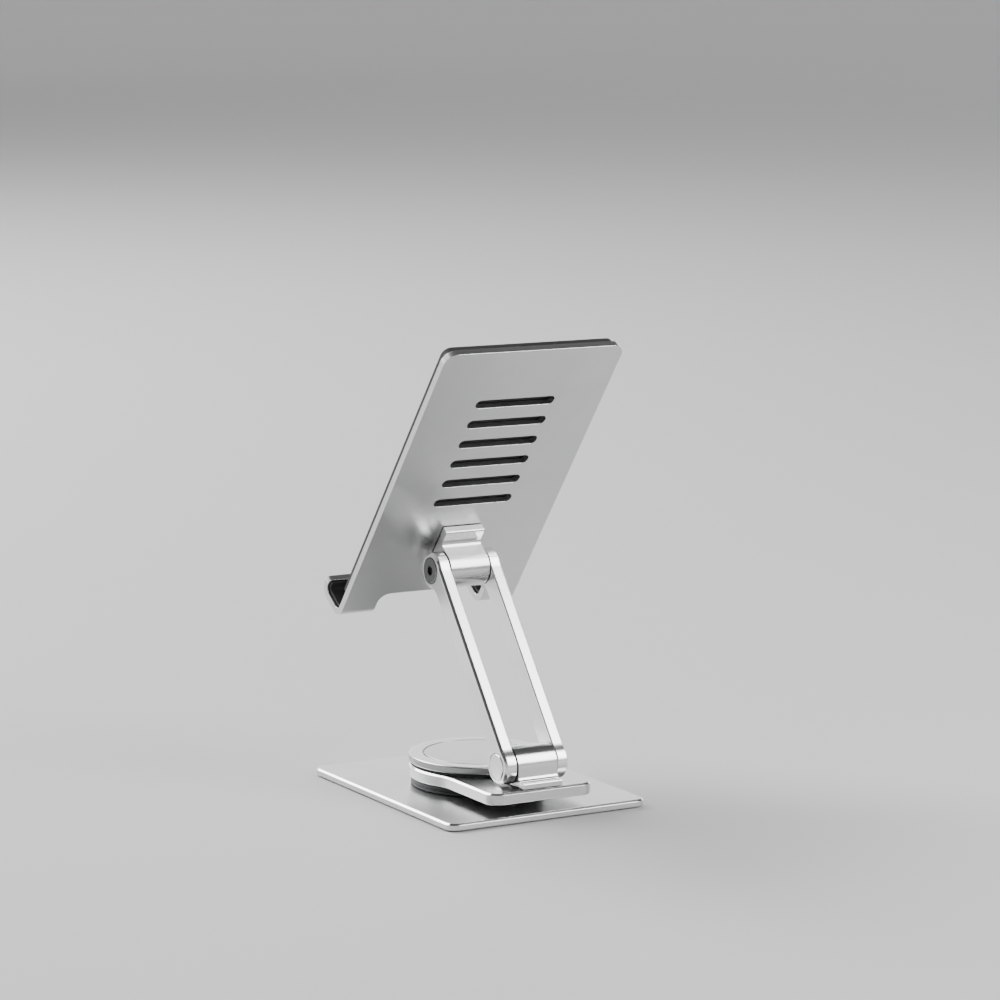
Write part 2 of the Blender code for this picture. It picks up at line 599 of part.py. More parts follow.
cut(panel, cutter("notch", extrude_outline(notch_outline(NOTCH_W, NOTCH_H, NOTCH_R), lip - 5, back + 5, "Y"),
                  upper))
for i in range(SLOT_COUNT):
    z = SLOT_FIRST_ABOVE_AXIS + i * SLOT_PITCH
    run = (SLOT_W - SLOT_H) / 2
    pill = arc(run, z, SLOT_H / 2, -90, 90, 8) + arc(-run, z, SLOT_H / 2, 90, 270, 8)
    cut(panel, cutter("slot_%d" % (i + 1), extrude_outline(pill, front - 1, back + 1, "Y"), upper))
for i, (x, y) in enumerate(upper_taps):
    at = upper_at @ place(x, y, -PANEL_TO_AXIS - PANEL_T + SCREW_SUNK)
    flat_screw("upper_block_screw_%d" % (i + 1), PANEL_T - SCREW_SUNK + UPPER_TAP, upper, at)
    cut(panel, flat_screw_hole("panel_screw_hole_%d" % (i + 1), PANEL_T + 1, upper, at))

# ---------------------------------------------------------------- silicone pads on the panel and in the hooks
pad_back = front - GAP
pad_w = PANEL_W - 2 * PAD_INSET
pad_top = top - PAD_INSET
pad_bottom = shelf + PANEL_T + PAD_FOOT_ABOVE_SHELF
pad_mid = (pad_top + pad_bottom) / 2
pts = [(x, z + pad_mid) for x, z in rounded_rect(pad_w, pad_top - pad_bottom, PAD_CORNER_R)]
bm = extrude_outline(pts, pad_back - PAD_T, pad_back, "Y")
bevel_edges(bm, lambda e: both(e, 1, pad_back - PAD_T), 0.5, 2)
pad = finish("front_pad", bm, SILICONE, upper)
cut(pad, cutter("pad_notch", extrude_outline(
    notch_outline(NOTCH_W + 2 * PAD_INSET, NOTCH_H + PAD_INSET, NOTCH_R), lip - 5, back + 5, "Y"), upper))

hook_w = (PANEL_W - NOTCH_W) / 2
hook_mid = (PANEL_W + NOTCH_W) / 4
outer = PANEL_T + GAP
inner = outer + HOOK_PAD_T
for side, sign in (("left", 1), ("right", -1)):
    x0 = sign * hook_mid - hook_w / 2 + HOOK_PAD_INSET
    x1 = sign * hook_mid + hook_w / 2 - HOOK_PAD_INSET
    strip = hook_line(outer, pad_bottom - GAP, lip_top - 0.3)
    strip += hook_line(inner, pad_bottom - GAP, lip_top - 0.3)[::-1]
    finish("hook_pad_" + side, extrude_outline(strip, x0, x1, "X"), SILICONE, upper)

bpy.context.view_layer.update()
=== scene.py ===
"""Looks of a folding tablet stand: fine meshes, finishes, floor, light and camera round its CAD frame.

Shapes are drawn in millimetres, in the frame's own axes, and take their places from the frame.
"""
import json
import math

import bmesh
import bpy
from mathutils import Matrix, Vector


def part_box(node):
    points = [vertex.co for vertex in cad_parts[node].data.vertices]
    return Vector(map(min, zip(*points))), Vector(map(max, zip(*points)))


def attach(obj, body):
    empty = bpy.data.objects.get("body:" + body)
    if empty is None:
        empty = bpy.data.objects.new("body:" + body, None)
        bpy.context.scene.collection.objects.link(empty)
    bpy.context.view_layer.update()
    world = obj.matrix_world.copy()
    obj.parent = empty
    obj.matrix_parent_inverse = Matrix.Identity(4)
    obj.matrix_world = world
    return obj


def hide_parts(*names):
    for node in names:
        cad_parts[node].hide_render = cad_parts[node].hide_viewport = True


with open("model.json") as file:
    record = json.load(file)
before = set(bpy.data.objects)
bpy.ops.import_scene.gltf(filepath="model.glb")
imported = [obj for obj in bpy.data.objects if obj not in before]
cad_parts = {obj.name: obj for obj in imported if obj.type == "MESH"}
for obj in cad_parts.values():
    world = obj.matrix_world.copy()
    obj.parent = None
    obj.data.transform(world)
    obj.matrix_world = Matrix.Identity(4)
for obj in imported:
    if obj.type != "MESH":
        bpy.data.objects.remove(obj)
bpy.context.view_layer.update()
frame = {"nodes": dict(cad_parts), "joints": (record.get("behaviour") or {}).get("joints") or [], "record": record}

MM = 0.001

# ---------------------------------------------------------------- camera
VIEW_AZIMUTH = 148.88       # degrees round the stand, 0 looking along +Y
VIEW_ELEVATION = 9.08
VIEW_ROLL = 0.65
VIEW_FROM = (0.62718, 1.05153, 0.29510)
LENS = 133.76
SENSOR = 36.0


def add_camera():
    a = math.radians(VIEW_AZIMUTH)
    e = math.radians(VIEW_ELEVATION)
    back = Vector((math.sin(a) * math.cos(e), -math.cos(a) * math.cos(e), math.sin(e)))
    level = Vector((0, 0, 1)).cross(back).normalized()
    upright = back.cross(level)
    roll = math.radians(VIEW_ROLL)
    right = level * math.cos(roll) + upright * math.sin(roll)
    up = upright * math.cos(roll) - level * math.sin(roll)
    camera = bpy.data.objects.new("camera", bpy.data.cameras.new("camera"))
    bpy.context.scene.collection.objects.link(camera)
    camera.data.lens = LENS
    camera.data.sensor_width = SENSOR
    camera.data.clip_start = 0.05
    camera.data.clip_end = 200.0
    turn = Matrix((right, up, back)).transposed().to_4x4()
    camera.matrix_world = Matrix.Translation(Vector(VIEW_FROM)) @ turn
    bpy.context.scene.camera = camera


add_camera()


# ---------------------------------------------------------------- sizes read from the frame, millimetres
def low(node):
    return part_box(node)[0] / MM


def high(node):
    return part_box(node)[1] / MM


def size(node):
    return high(node) - low(node)


def joint_at(name):
    return Vector(next(j["pos_m"] for j in frame["joints"] if j["name"] == name)) / MM


def mount_axis(name):
    return Vector(next(m["axis"] for m in frame["record"]["mounts"] if m["name"] == name))


GAP = 0.3
LOWER = joint_at("lower_hinge")
UPPER = joint_at("tilt_hinge")
ARM_LINE = UPPER - LOWER
ARM_LENGTH = ARM_LINE.length
FACE = mount_axis("tablet_back_face")

# arm space: y runs from the lower to the upper axis, z points to the arm's front edge
ARM_SPACE = Matrix.Translation(LOWER) @ Matrix.Rotation(math.atan2(ARM_LINE.z, ARM_LINE.y), 4, "X")
# panel space: z runs up the panel, y points out of its back
PANEL_SPACE = Matrix.Translation(UPPER) @ Matrix.Rotation(-math.atan2(FACE.z, -FACE.y), 4, "X")
LOWER_SPACE = Matrix.Translation(LOWER)
# a block's foot turned to face the panel
FOOT_TO_PANEL = Matrix(((1, 0, 0), (0, 0, 1), (0, -1, 0))).to_4x4()
UPPER_SPACE = PANEL_SPACE @ FOOT_TO_PANEL


def in_space(node, space):
    """Lowest and highest corner of a CAD node in a turned space."""
    back = space.inverted()
    pts = [back @ (v.co / MM) for v in frame["nodes"][node].data.vertices]
    return (Vector(tuple(min(p[i] for p in pts) for i in range(3))),
            Vector(tuple(max(p[i] for p in pts) for i in range(3))))


# ---------------------------------------------------------------- outlines
def arc(cx, cy, r, start, end, steps):
    """Points on an arc in degrees, both ends included."""
    angles = [math.radians(start + (end - start) * i / steps) for i in range(steps + 1)]
    return [(cx + r * math.cos(a), cy + r * math.sin(a)) for a in angles]


def rounded_rect(w, d, r, steps=12):
    x = w / 2 - r
    y = d / 2 - r
    pts = []
    for cx, cy, start in ((x, y, 0), (-x, y, 90), (-x, -y, 180), (x, -y, 270)):
        pts += arc(cx, cy, r, start, start + 90, steps)
    return pts


def concave_fillet(r, line, fillet):
    """Centre and touching angle of a fillet between a circle at (0, 0) and the line y = line outside it."""
    cy = line + fillet
    cx = math.sqrt((r + fillet) ** 2 - cy ** 2)
    return cx, cy, math.degrees(math.atan2(cy, cx))


def without_repeats(pts):
    out = []
    for p in pts:
        if not out or math.dist(p, out[-1]) > 1e-4:
            out.append(p)
    if math.dist(out[0], out[-1]) < 1e-4:
        out.pop()
    return out


# ---------------------------------------------------------------- solids
AXES = {"Z": lambda a, b, h: (a, b, h), "X": lambda a, b, h: (h, a, b), "Y": lambda a, b, h: (a, h, b)}
MAIN, CUT_OR_SHADE = 0, 1            # material slots of a piece: its own finish, and a second one for its bright cut edges and for painted shade on the cap rim's sides and in screw sockets


def extrude(outline, start, end, axis="Z"):
    """Solid between two levels along an axis: Z takes (x, y) points, X takes (y, z) and Y takes (x, z)."""
    bm = bmesh.new()
    order = AXES[axis]
    face = bm.faces.new([bm.verts.new(order(a, b, start)) for a, b in without_repeats(outline)])
    grown = bmesh.ops.extrude_face_region(bm, geom=[face])["geom"]
    far = [g for g in grown if isinstance(g, bmesh.types.BMVert)]
    bmesh.ops.translate(bm, verts=far, vec=order(0, 0, end - start))
    bmesh.ops.recalc_face_normals(bm, faces=bm.faces)
    return bm


def turned(profile, steps=128, axis="Z"):
    """Solid of revolution from (radius, height) points. It closes on the axis, or its profile is a loop."""
    bm = bmesh.new()
    verts = [bm.verts.new((r, 0, z)) for r, z in profile]
    edges = [bm.edges.new(pair) for pair in zip(verts, verts[1:])]
    if profile[0][0] > 1e-9:
        edges.append(bm.edges.new((verts[-1], verts[0])))
    bmesh.ops.spin(bm, geom=verts + edges, cent=(0, 0, 0), axis=(0, 0, 1), angle=2 * math.pi,
                   steps=steps, use_merge=True)
    bmesh.ops.remove_doubles(bm, verts=bm.verts, dist=1e-5)
    bmesh.ops.recalc_face_normals(bm, faces=bm.faces)
    if axis == "X":
        bmesh.ops.rotate(bm, verts=bm.verts, cent=(0, 0, 0), matrix=Matrix.Rotation(math.pi / 2, 3, "Y"))
    return bm


def soft_loop(corners, r, steps=3):
    """A closed profile of (radius, height) corners with every corner rounded by r."""
    pts = []
    n = len(corners)
    for i in range(n):
        p = Vector(corners[i])
        before = (Vector(corners[i - 1]) - p).normalized()
        after = (Vector(corners[(i + 1) % n]) - p).normalized()
        for k in range(steps + 1):
            t = k / steps
            pts.append(tuple(p + before * r * (1 - t) ** 2 + after * r * t ** 2))
    return pts


def flat_edges(bm, axis, level):
    """Edges that lie on one level along an axis."""
    return [e for e in bm.edges if all(abs(v.co[axis] - level) < 1e-4 for v in e.verts)]


def chamfer(bm, edges, width, slot=CUT_OR_SHADE, segments=1):
    made = bmesh.ops.bevel(bm, geom=edges, offset=width, offset_type="OFFSET", segments=segments,
                           profile=0.5, affect="EDGES", clamp_overlap=True)
    for face in made["faces"]:
        face.material_index = slot


def as_object(name, bm, space=None):
    """An object in metres from a bmesh in millimetres, drawn in a space of the frame."""
    bmesh.ops.remove_doubles(bm, verts=bm.verts, dist=1e-5)
    bmesh.ops.recalc_face_normals(bm, faces=bm.faces)
    bm.transform(Matrix.Scale(MM, 4) @ (space or Matrix.Identity(4)))
    mesh = bpy.data.meshes.new(name)
    bm.to_mesh(mesh)
    bm.free()
    two_slots(mesh)
    obj = bpy.data.objects.new(name, mesh)
    bpy.context.scene.collection.objects.link(obj)
    return obj


def two_slots(mesh):
    """Empty slots for both finishes, because a face keeps its slot only where the mesh has it."""
    while len(mesh.materials) < 2:
        mesh.materials.append(None)


def baked_mesh(obj):
    """The object's mesh with its modifiers applied."""
    graph = bpy.context.evaluated_depsgraph_get()
    graph.update()
    mesh = bpy.data.meshes.new_from_object(obj.evaluated_get(graph), depsgraph=graph)
    two_slots(mesh)
    return mesh


def cut_with(obj, tools):
    for tool in tools:
        mod = obj.modifiers.new("cut", "BOOLEAN")
        mod.operation = "DIFFERENCE"
        mod.solver = "EXACT"
        mod.object = tool
    obj.data = baked_mesh(obj)
    obj.modifiers.clear()
    for tool in tools:
        bpy.data.objects.remove(tool, do_unlink=True)


def soften(obj, width, segments=3, angle=28.0, slot=-1):
    """Rounds or chamfers every edge sharper than an angle."""
    mod = obj.modifiers.new("soften", "BEVEL")
    mod.width = width * MM
    mod.segments = segments
    mod.limit_method = "ANGLE"
    mod.angle_limit = math.radians(angle)
    mod.use_clamp_overlap = True
    mod.material = slot


def finished(obj, body, finishes, replaces):
    """Applies the piece's modifiers, gives it its finishes and hands it to the frame."""
    mod = obj.modifiers.new("shade", "WEIGHTED_NORMAL")
    mod.keep_sharp = True
    mod.weight = 60
    obj.data.shade_smooth()
    obj.data = baked_mesh(obj)
    obj.modifiers.clear()
    obj.data.name = obj.name
    chosen = [min(face.material_index, len(finishes) - 1) for face in obj.data.polygons]
    obj.data.materials.clear()
    for finish in finishes:
        obj.data.materials.append(finish)
    obj.data.polygons.foreach_set("material_index", chosen)
    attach(obj, body)
    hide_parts(*replaces)
    return obj


# ---------------------------------------------------------------- finishes
class Value:
    """A shader socket that takes part in Python expressions."""

    def __init__(self, finish, socket):
        self.finish = finish
        self.socket = socket

    def _math(self, operation, *values):
        return self.finish.value("ShaderNodeMath", {"operation": operation}, dict(enumerate(values)))

    def __add__(self, other):
        return self._math("ADD", self, other)

    def __radd__(self, other):
        return self._math("ADD", other, self)

    def __sub__(self, other):
        return self._math("SUBTRACT", self, other)

    def __rsub__(self, other):
        return self._math("SUBTRACT", other, self)

    def __mul__(self, other):
        return self._math("MULTIPLY", self, other)

    def __rmul__(self, other):
        return self._math("MULTIPLY", other, self)

    def clamped(self):
        return self._math("MINIMUM", self._math("MAXIMUM", self, 0.0), 1.0)


class Finish:
    """A Principled material built from expressions."""

    def __init__(self, name, metallic=0.0, specular=0.5, sheen=0.0):
        self.material = bpy.data.materials.new(name)
        self.material.use_nodes = True
        self.tree = self.material.node_tree
        self.surface = self.tree.nodes["Principled BSDF"]
        for socket, number in (("Metallic", metallic), ("Specular IOR Level", specular),
                               ("Sheen Weight", sheen)):
            self.surface.inputs[socket].default_value = number

    def node(self, kind, settings=None, inputs=None):
        """Adds a node: its settings are set first, then the values or links of its sockets."""
        node = self.tree.nodes.new(kind)
        for key, setting in (settings or {}).items():
            setattr(node, key, setting)
        for key, item in (inputs or {}).items():
            if isinstance(item, Value):
                self.tree.links.new(item.socket, node.inputs[key])
            else:
                node.inputs[key].default_value = item
        return node

    def value(self, kind, settings=None, inputs=None, output=0):
        return Value(self, self.node(kind, settings, inputs).outputs[output])

    def coordinates(self, turn=(0.0, 0.0, 0.0), stretch=(1.0, 1.0, 1.0), move=(0.0, 0.0, 0.0)):
        """Object coordinates turned so that a pattern's own axes follow a piece, then stretched."""
        plain = self.value("ShaderNodeTexCoord", output="Object")
        about = self.value("ShaderNodeVectorMath", {"operation": "SUBTRACT"}, {0: plain, 1: move})
        level = self.value("ShaderNodeMapping", {}, {"Vector": about, "Rotation": turn})
        return self.value("ShaderNodeVectorMath", {"operation": "MULTIPLY"}, {0: level, 1: stretch})

    def noise(self, vector, scale, detail=3.0, roughness=0.55, seed=0.0):
        moved = self.value("ShaderNodeVectorMath", {"operation": "ADD"}, {0: vector, 1: (seed, seed, seed)})
        return self.value("ShaderNodeTexNoise", {}, {"Vector": moved, "Scale": scale, "Detail": detail,
                                                     "Roughness": roughness})

    def span(self, value, start, end, first=0.0, last=1.0):
        """Maps start..end of a value to first..last, smoothly and no further."""
        settings = {"interpolation_type": "SMOOTHSTEP"}
        return self.value("ShaderNodeMapRange", settings,
                          {0: value, 1: start, 2: end, 3: first, 4: last})

    def mix(self, factor, first, second):
        """Colour between two colours."""
        inputs = {0: factor, 6: first, 7: second}
        return self.value("ShaderNodeMix", {"data_type": "RGBA"}, inputs, output=2)

    def edges(self, radius):
        """1 on edges and corners, 0 on flats."""
        rounded = self.value("ShaderNodeBevel", {"samples": 4}, {"Radius": radius * MM})
        true = self.value("ShaderNodeNewGeometry", output="True Normal")
        settings = {"operation": "DOT_PRODUCT"}
        same = self.value("ShaderNodeVectorMath", settings, {0: rounded, 1: true}, output=1)
        return self.span(1.0 - same, 0.01, 0.22)

    def bump(self, height, strength, depth, under=None):
        inputs = {"Height": height, "Strength": strength, "Distance": depth * MM}
        if under is not None:
            inputs["Normal"] = under
        return self.value("ShaderNodeBump", {}, inputs)

    def done(self, color, roughness, normal=None):
        for socket, item in (("Base Color", color), ("Roughness", roughness), ("Normal", normal)):
            if item is not None:
                self.tree.links.new(item.socket, self.surface.inputs[socket])
        return self.material


def rgb(grey, warm=0.0):
    return (grey + warm, grey, grey - warm, 1.0)


def blasted_metal(name, tone, roughness, grain=0.14, depth=0.012):
    """Bead-blasted and anodised aluminium: fine grain, faint clouds, edges rubbed a little brighter."""
    f = Finish(name, metallic=1.0)
    at = f.coordinates()
    beads = f.noise(at, 1 / (grain * MM), detail=2.0, roughness=0.6)
    dents = f.noise(at, 1 / (grain * 3.2 * MM), detail=3.0, seed=3.1)
    clouds = f.noise(at, 45.0, detail=4.0, seed=7.7)
    handled = f.noise(at, 17.0, detail=2.0, seed=1.3)
    worn = f.edges(0.35) * f.span(f.noise(at, 900.0, seed=5.2), 0.35, 0.6, 0.35, 1.0)
    shade = f.mix(f.span(clouds, 0.3, 0.7), rgb(tone * 0.965, -0.003), rgb(tone * 1.025, -0.001))
    shade = f.mix(f.span(beads, 0.25, 0.75) * 0.10, shade, rgb(tone * 0.84))
    shade = f.mix(worn * 0.55, shade, rgb(min(0.95, tone * 1.28)))
    matt = roughness + (beads - 0.5) * 0.07 + (handled - 0.5) * 0.08 - worn * 0.07
    height = beads * 0.7 + dents * 0.3
    return f.done(shade, matt.clamped(), f.bump(height, 0.35, depth))


def drawn_metal(name, tone, roughness, space, along, fine=0.10, depth=0.006):
    """Satin anodised aluminium with faint drawn lines along one axis of a space."""
    f = Finish(name, metallic=1.0)
    turn = tuple(-a for a in space.to_euler())
    stretch = tuple(0.035 if axis == along else 1.0 for axis in "XYZ")
    lines = f.noise(f.coordinates(turn, stretch), 1 / (fine * MM), detail=3.0, roughness=0.65)
    at = f.coordinates()
    grain = f.noise(at, 1 / (0.11 * MM), detail=2.0, seed=2.4)
    clouds = f.noise(at, 60.0, detail=4.0, seed=4.4)
    worn = f.edges(0.4) * f.span(f.noise(at, 1100.0, seed=6.1), 0.35, 0.62, 0.3, 1.0)
    shade = f.mix(f.span(clouds, 0.3, 0.7), rgb(tone * 0.97, -0.002), rgb(tone * 1.02, -0.001))
    shade = f.mix(f.span(lines, 0.3, 0.7) * 0.12, shade, rgb(tone * 0.86))
    shade = f.mix(worn * 0.5, shade, rgb(min(0.96, tone * 1.2)))
    matt = roughness + (lines - 0.5) * 0.10 + (clouds - 0.5) * 0.05 - worn * 0.06
    height = lines * 0.6 + grain * 0.4
    return f.done(shade, matt.clamped(), f.bump(height, 0.30, depth))


def lathe_metal(name, tone, roughness, center, axis="Z", pitch=0.12, depth=0.004, metallic=1.0):
    """Metal or plastic turned on a lathe: fine rings about an axis through a point."""
    f = Finish(name, metallic=metallic)
    flat = tuple(0.0 if a == axis else 1.0 for a in "XYZ")
    across = f.coordinates(stretch=flat, move=tuple(c * MM for c in center))
    radius = f.value("ShaderNodeVectorMath", {"operation": "LENGTH"}, {0: across}, output=1)
    settings = {"noise_dimensions": "1D"}
    rings = f.value("ShaderNodeTexNoise", settings, {"W": radius, "Scale": 1 / (pitch * MM), "Detail": 3.0,
                                                     "Roughness": 0.7})
    broad = f.value("ShaderNodeTexNoise", settings, {"W": radius, "Scale": 0.09 / (pitch * MM),
                                                     "Detail": 2.0})
    at = f.coordinates()
    clouds = f.noise(at, 70.0, detail=4.0, seed=9.1)
    worn = f.edges(0.3) * f.span(f.noise(at, 1300.0, seed=8.3), 0.35, 0.62, 0.3, 1.0)
    shade = f.mix(f.span(rings, 0.3, 0.7) * 0.16, rgb(tone, -0.002), rgb(tone * 0.82))
    shade = f.mix(worn * 0.5, shade, rgb(min(0.95, tone * 1.25)))
    matt = roughness + (rings - 0.5) * 0.10 + (broad - 0.5) * 0.06 + (clouds - 0.5) * 0.05 - worn * 0.05
    return f.done(shade, matt.clamped(), f.bump(rings, 0.30, depth))


def cut_edge(name, tone=0.86, roughness=0.17):
    """Chamfer cut by a sharp tool after anodising: bright, with faint tool marks."""
    f = Finish(name, metallic=1.0)
    at = f.coordinates()
    marks = f.noise(at, 1 / (0.18 * MM), detail=2.0)
    dulled = f.noise(at, 140.0, detail=3.0, seed=2.0)
    shade = f.mix(f.span(dulled, 0.35, 0.7), rgb(tone, -0.002), rgb(tone * 0.93))
    matt = roughness + (marks - 0.5) * 0.06 + (dulled - 0.5) * 0.08
    return f.done(shade, matt.clamped(), f.bump(marks, 0.15, 0.003))


def moulded_rubber(name, tone=0.019, roughness=0.60, grain=0.16):
    """Black silicone: a matt moulded grain, a faint bloom, edges rubbed a little lighter."""
    f = Finish(name, specular=0.42, sheen=0.04)
    at = f.coordinates()
    grains = f.noise(at, 1 / (grain * MM), detail=3.0, roughness=0.6)
    swells = f.noise(at, 1 / (3.5 * MM), detail=2.0, seed=4.0)
    bloom = f.noise(at, 60.0, detail=4.0, seed=8.0)
    specks = f.span(f.noise(at, 2600.0, detail=1.0, seed=6.0), 0.70, 0.76)
    worn = f.edges(0.5)
    shade = f.mix(f.span(bloom, 0.35, 0.7), rgb(tone * 0.85), rgb(tone * 1.25))
    shade = f.mix(worn * 0.35 + specks * 0.18, shade, rgb(tone * 3.2))
    matt = roughness + (grains - 0.5) * 0.16 + (bloom - 0.5) * 0.14
    return f.done(shade, matt.clamped(), f.bump(grains * 0.8 + swells * 0.2, 0.45, 0.03))


def oiled_black(name):
    """Black oxide on steel: nearly black, with brown-grey patches and bright rubbed edges."""
    f = Finish(name, metallic=0.9)
    at = f.coordinates()
    patches = f.noise(at, 420.0, detail=4.0)
    grain = f.noise(at, 1 / (0.09 * MM), detail=2.0, seed=3.0)
    worn = f.edges(0.25) * f.span(f.noise(at, 1500.0, seed=1.0), 0.4, 0.6, 0.2, 1.0)
    shade = f.mix(f.span(patches, 0.3, 0.7), rgb(0.045), rgb(0.075, 0.004))
    shade = f.mix(worn * 0.6, shade, rgb(0.34))
    matt = 0.38 + (patches - 0.5) * 0.16 + (grain - 0.5) * 0.08
    return f.done(shade, matt.clamped(), f.bump(grain, 0.3, 0.006))


PLATE = blasted_metal("satin_plate", 0.67, 0.28)
PANEL = blasted_metal("satin_panel", 0.60, 0.32, grain=0.15)
DISC = lathe_metal("satin_disc", 0.62, 0.30, (0, 0, 0))
RIM = lathe_metal("satin_rim", 0.70, 0.26, (0, 0, 0))
# Painted shade: a darker copy of the rim finish for the rim's side faces.
RIM_SIDE_PAINTED_SHADE = lathe_metal("turned_rim_side_painted_shade", 0.36, 0.30, (0, 0, 0), pitch=0.2)
PLATFORM = blasted_metal("satin_platform", 0.66, 0.28, grain=0.12)
ARM = drawn_metal("satin_arm", 0.86, 0.25, ARM_SPACE, "Y")
LOWER_BLOCK = drawn_metal("satin_lower_block", 0.70, 0.21, LOWER_SPACE, "X")
# Painted shade: the upper block is a darker copy of the lower block's finish.
UPPER_BLOCK_PAINTED_SHADE = drawn_metal("satin_upper_block_painted_shade", 0.56, 0.20, UPPER_SPACE, "X")
EDGE = cut_edge("cut_edge")
SILICONE = moulded_rubber("black_silicone")
BEARING = lathe_metal("turned_black_acetal", 0.010, 0.48, (0, 0, 0), pitch=0.2, metallic=0.0)
OXIDE = oiled_black("black_oxide")
STUD_STEEL = lathe_metal("turned_stud_steel", 0.55, 0.27, (0, 0, 0))
LOWER_STEEL = lathe_metal("turned_lower_steel", 0.80, 0.24, LOWER, axis="X")
# Painted shade: the upper steel is a far darker copy of the lower steel.
UPPER_STEEL_PAINTED_SHADE = lathe_metal("turned_upper_steel_painted_shade", 0.20, 0.24, UPPER, axis="X")


# ---------------------------------------------------------------- node-built pieces
class Tree:
    """A geometry node group with named inputs, its first geometry socket carrying the mesh to work on."""

    def __init__(self, name, inputs):
        self.group = bpy.data.node_groups.new(name, "GeometryNodeTree")
        face = self.group.interface
        face.new_socket("Geometry", in_out="INPUT", socket_type="NodeSocketGeometry")
        face.new_socket("Geometry", in_out="OUTPUT", socket_type="NodeSocketGeometry")
        for label, kind in inputs:
            face.new_socket(label, in_out="INPUT", socket_type="NodeSocket" + kind)
        self.start = self.group.nodes.new("NodeGroupInput")
        self.end = self.group.nodes.new("NodeGroupOutput")

    def node(self, kind, settings=None, inputs=None):
        node = self.group.nodes.new(kind)
        for key, setting in (settings or {}).items():
            setattr(node, key, setting)
        for key, item in (inputs or {}).items():
            for one in item if isinstance(item, list) else [item]:
                if isinstance(one, bpy.types.NodeSocket):
                    self.group.links.new(one, node.inputs[key])
                else:
                    node.inputs[key].default_value = one
        return node

    def made(self, kind, settings=None, inputs=None, output=0):
        return self.node(kind, settings, inputs).outputs[output]

    def take(self, label):
        return self.start.outputs[label]

    def calc(self, operation, *values):
        return self.made("ShaderNodeMath", {"operation": operation}, dict(enumerate(values)))

    def spot(self, x=0.0, y=0.0, z=0.0):
        return self.made("ShaderNodeCombineXYZ", {}, {"X": x, "Y": y, "Z": z})

    def moved(self, geometry, where=None, turn=None):
        inputs = {"Geometry": geometry}
        if where is not None:
            inputs["Translation"] = where
        if turn is not None:
            inputs["Rotation"] = turn
        return self.made("GeometryNodeTransform", {}, inputs)

    def boolean(self, operation, first, others):
        """Cuts others from first, or joins them all."""
        node = self.node("GeometryNodeMeshBoolean", {"operation": operation, "solver": "EXACT"})
        for one in others:
            self.group.links.new(one, node.inputs["Mesh 2"])
        if operation == "DIFFERENCE":
            self.group.links.new(first, node.inputs["Mesh 1"])
        else:
            self.group.links.new(first, node.inputs["Mesh 2"])
        return node.outputs["Mesh"]

    def finish(self, geometry, material=None):
        whole = self.made("GeometryNodeRealizeInstances", {}, {"Geometry": geometry})
        if material is not None:
            whole = self.made("GeometryNodeSetMaterial", {}, {"Geometry": whole, "Material": material})
        self.group.links.new(whole, self.end.inputs[0])
        return self.group


def run_tree(obj, group, values):
    """Runs a node group on an object, its inputs set by identifier, and keeps the result as its mesh."""
    mod = obj.modifiers.new("nodes", "NODES")
    mod.node_group = group
    for item in group.interface.items_tree:
        if item.item_type == "SOCKET" and item.in_out == "INPUT" and item.name in values:
            mod[item.identifier] = values[item.name]
    obj.data = baked_mesh(obj)
    obj.modifiers.clear()
    return obj


def screw_tree():
    """A screw at each point, facing the way its attribute says, with a hex socket unless it is plain."""
    sizes = ("Head Radius", "Head Base Radius", "Head Height", "Rim", "Shank Radius", "Length",
             "Socket Radius", "Socket Depth")
    t = Tree("socket_screws", [(label, "Float") for label in sizes] + [("Metal", "Material")])
    head_r = t.take("Head Radius")
    rim = t.take("Rim")
    head_h = t.take("Head Height")
    body_h = t.calc("SUBTRACT", head_h, rim)
    cone = {"Vertices": 64, "Side Segments": 1, "Fill Segments": 1}
    body = t.made("GeometryNodeMeshCone", {"fill_type": "NGON"},
                  {**cone, "Radius Top": head_r, "Radius Bottom": t.take("Head Base Radius"),
                   "Depth": body_h})
    lid = t.made("GeometryNodeMeshCone", {"fill_type": "NGON"},
                 {**cone, "Radius Top": t.calc("SUBTRACT", head_r, rim), "Radius Bottom": head_r,
                  "Depth": rim})
    shank = t.made("GeometryNodeMeshCylinder", {"fill_type": "NGON"},
                   {"Vertices": 40, "Radius": t.take("Shank Radius"), "Depth": t.take("Length")})
    bolt = t.boolean("UNION", t.moved(body, t.spot(z=t.calc("MULTIPLY", head_h, -1.0))),
                     [t.moved(lid, t.spot(z=t.calc("MULTIPLY", rim, -1.0))),
                      t.moved(shank, t.spot(z=t.calc("MULTIPLY", t.take("Length"), -0.5)))])
    bolt = t.moved(bolt)
    depth = t.take("Socket Depth")
    hexagon = t.made("GeometryNodeMeshCylinder", {"fill_type": "NGON"},
                     {"Vertices": 6, "Radius": t.take("Socket Radius"),
                      "Depth": t.calc("MULTIPLY", depth, 2.0)})
    socketed = t.boolean("DIFFERENCE", bolt, [hexagon])
    facing = t.made("GeometryNodeInputNamedAttribute", {"data_type": "FLOAT_VECTOR"}, {"Name": "facing"})
    plain = t.made("GeometryNodeInputNamedAttribute", {"data_type": "BOOLEAN"}, {"Name": "plain"})
    turn = t.made("FunctionNodeAlignRotationToVector", {"axis": "Z"}, {"Vector": facing})
    others = t.made("FunctionNodeBooleanMath", {"operation": "NOT"}, {0: plain})
    sets = [t.made("GeometryNodeInstanceOnPoints", {},
                   {"Points": t.take("Geometry"), "Selection": chosen, "Instance": one, "Rotation": turn})
            for chosen, one in ((plain, bolt), (others, socketed))]
    return t.finish(t.made("GeometryNodeJoinGeometry", {}, {"Geometry": sets}), t.take("Metal"))


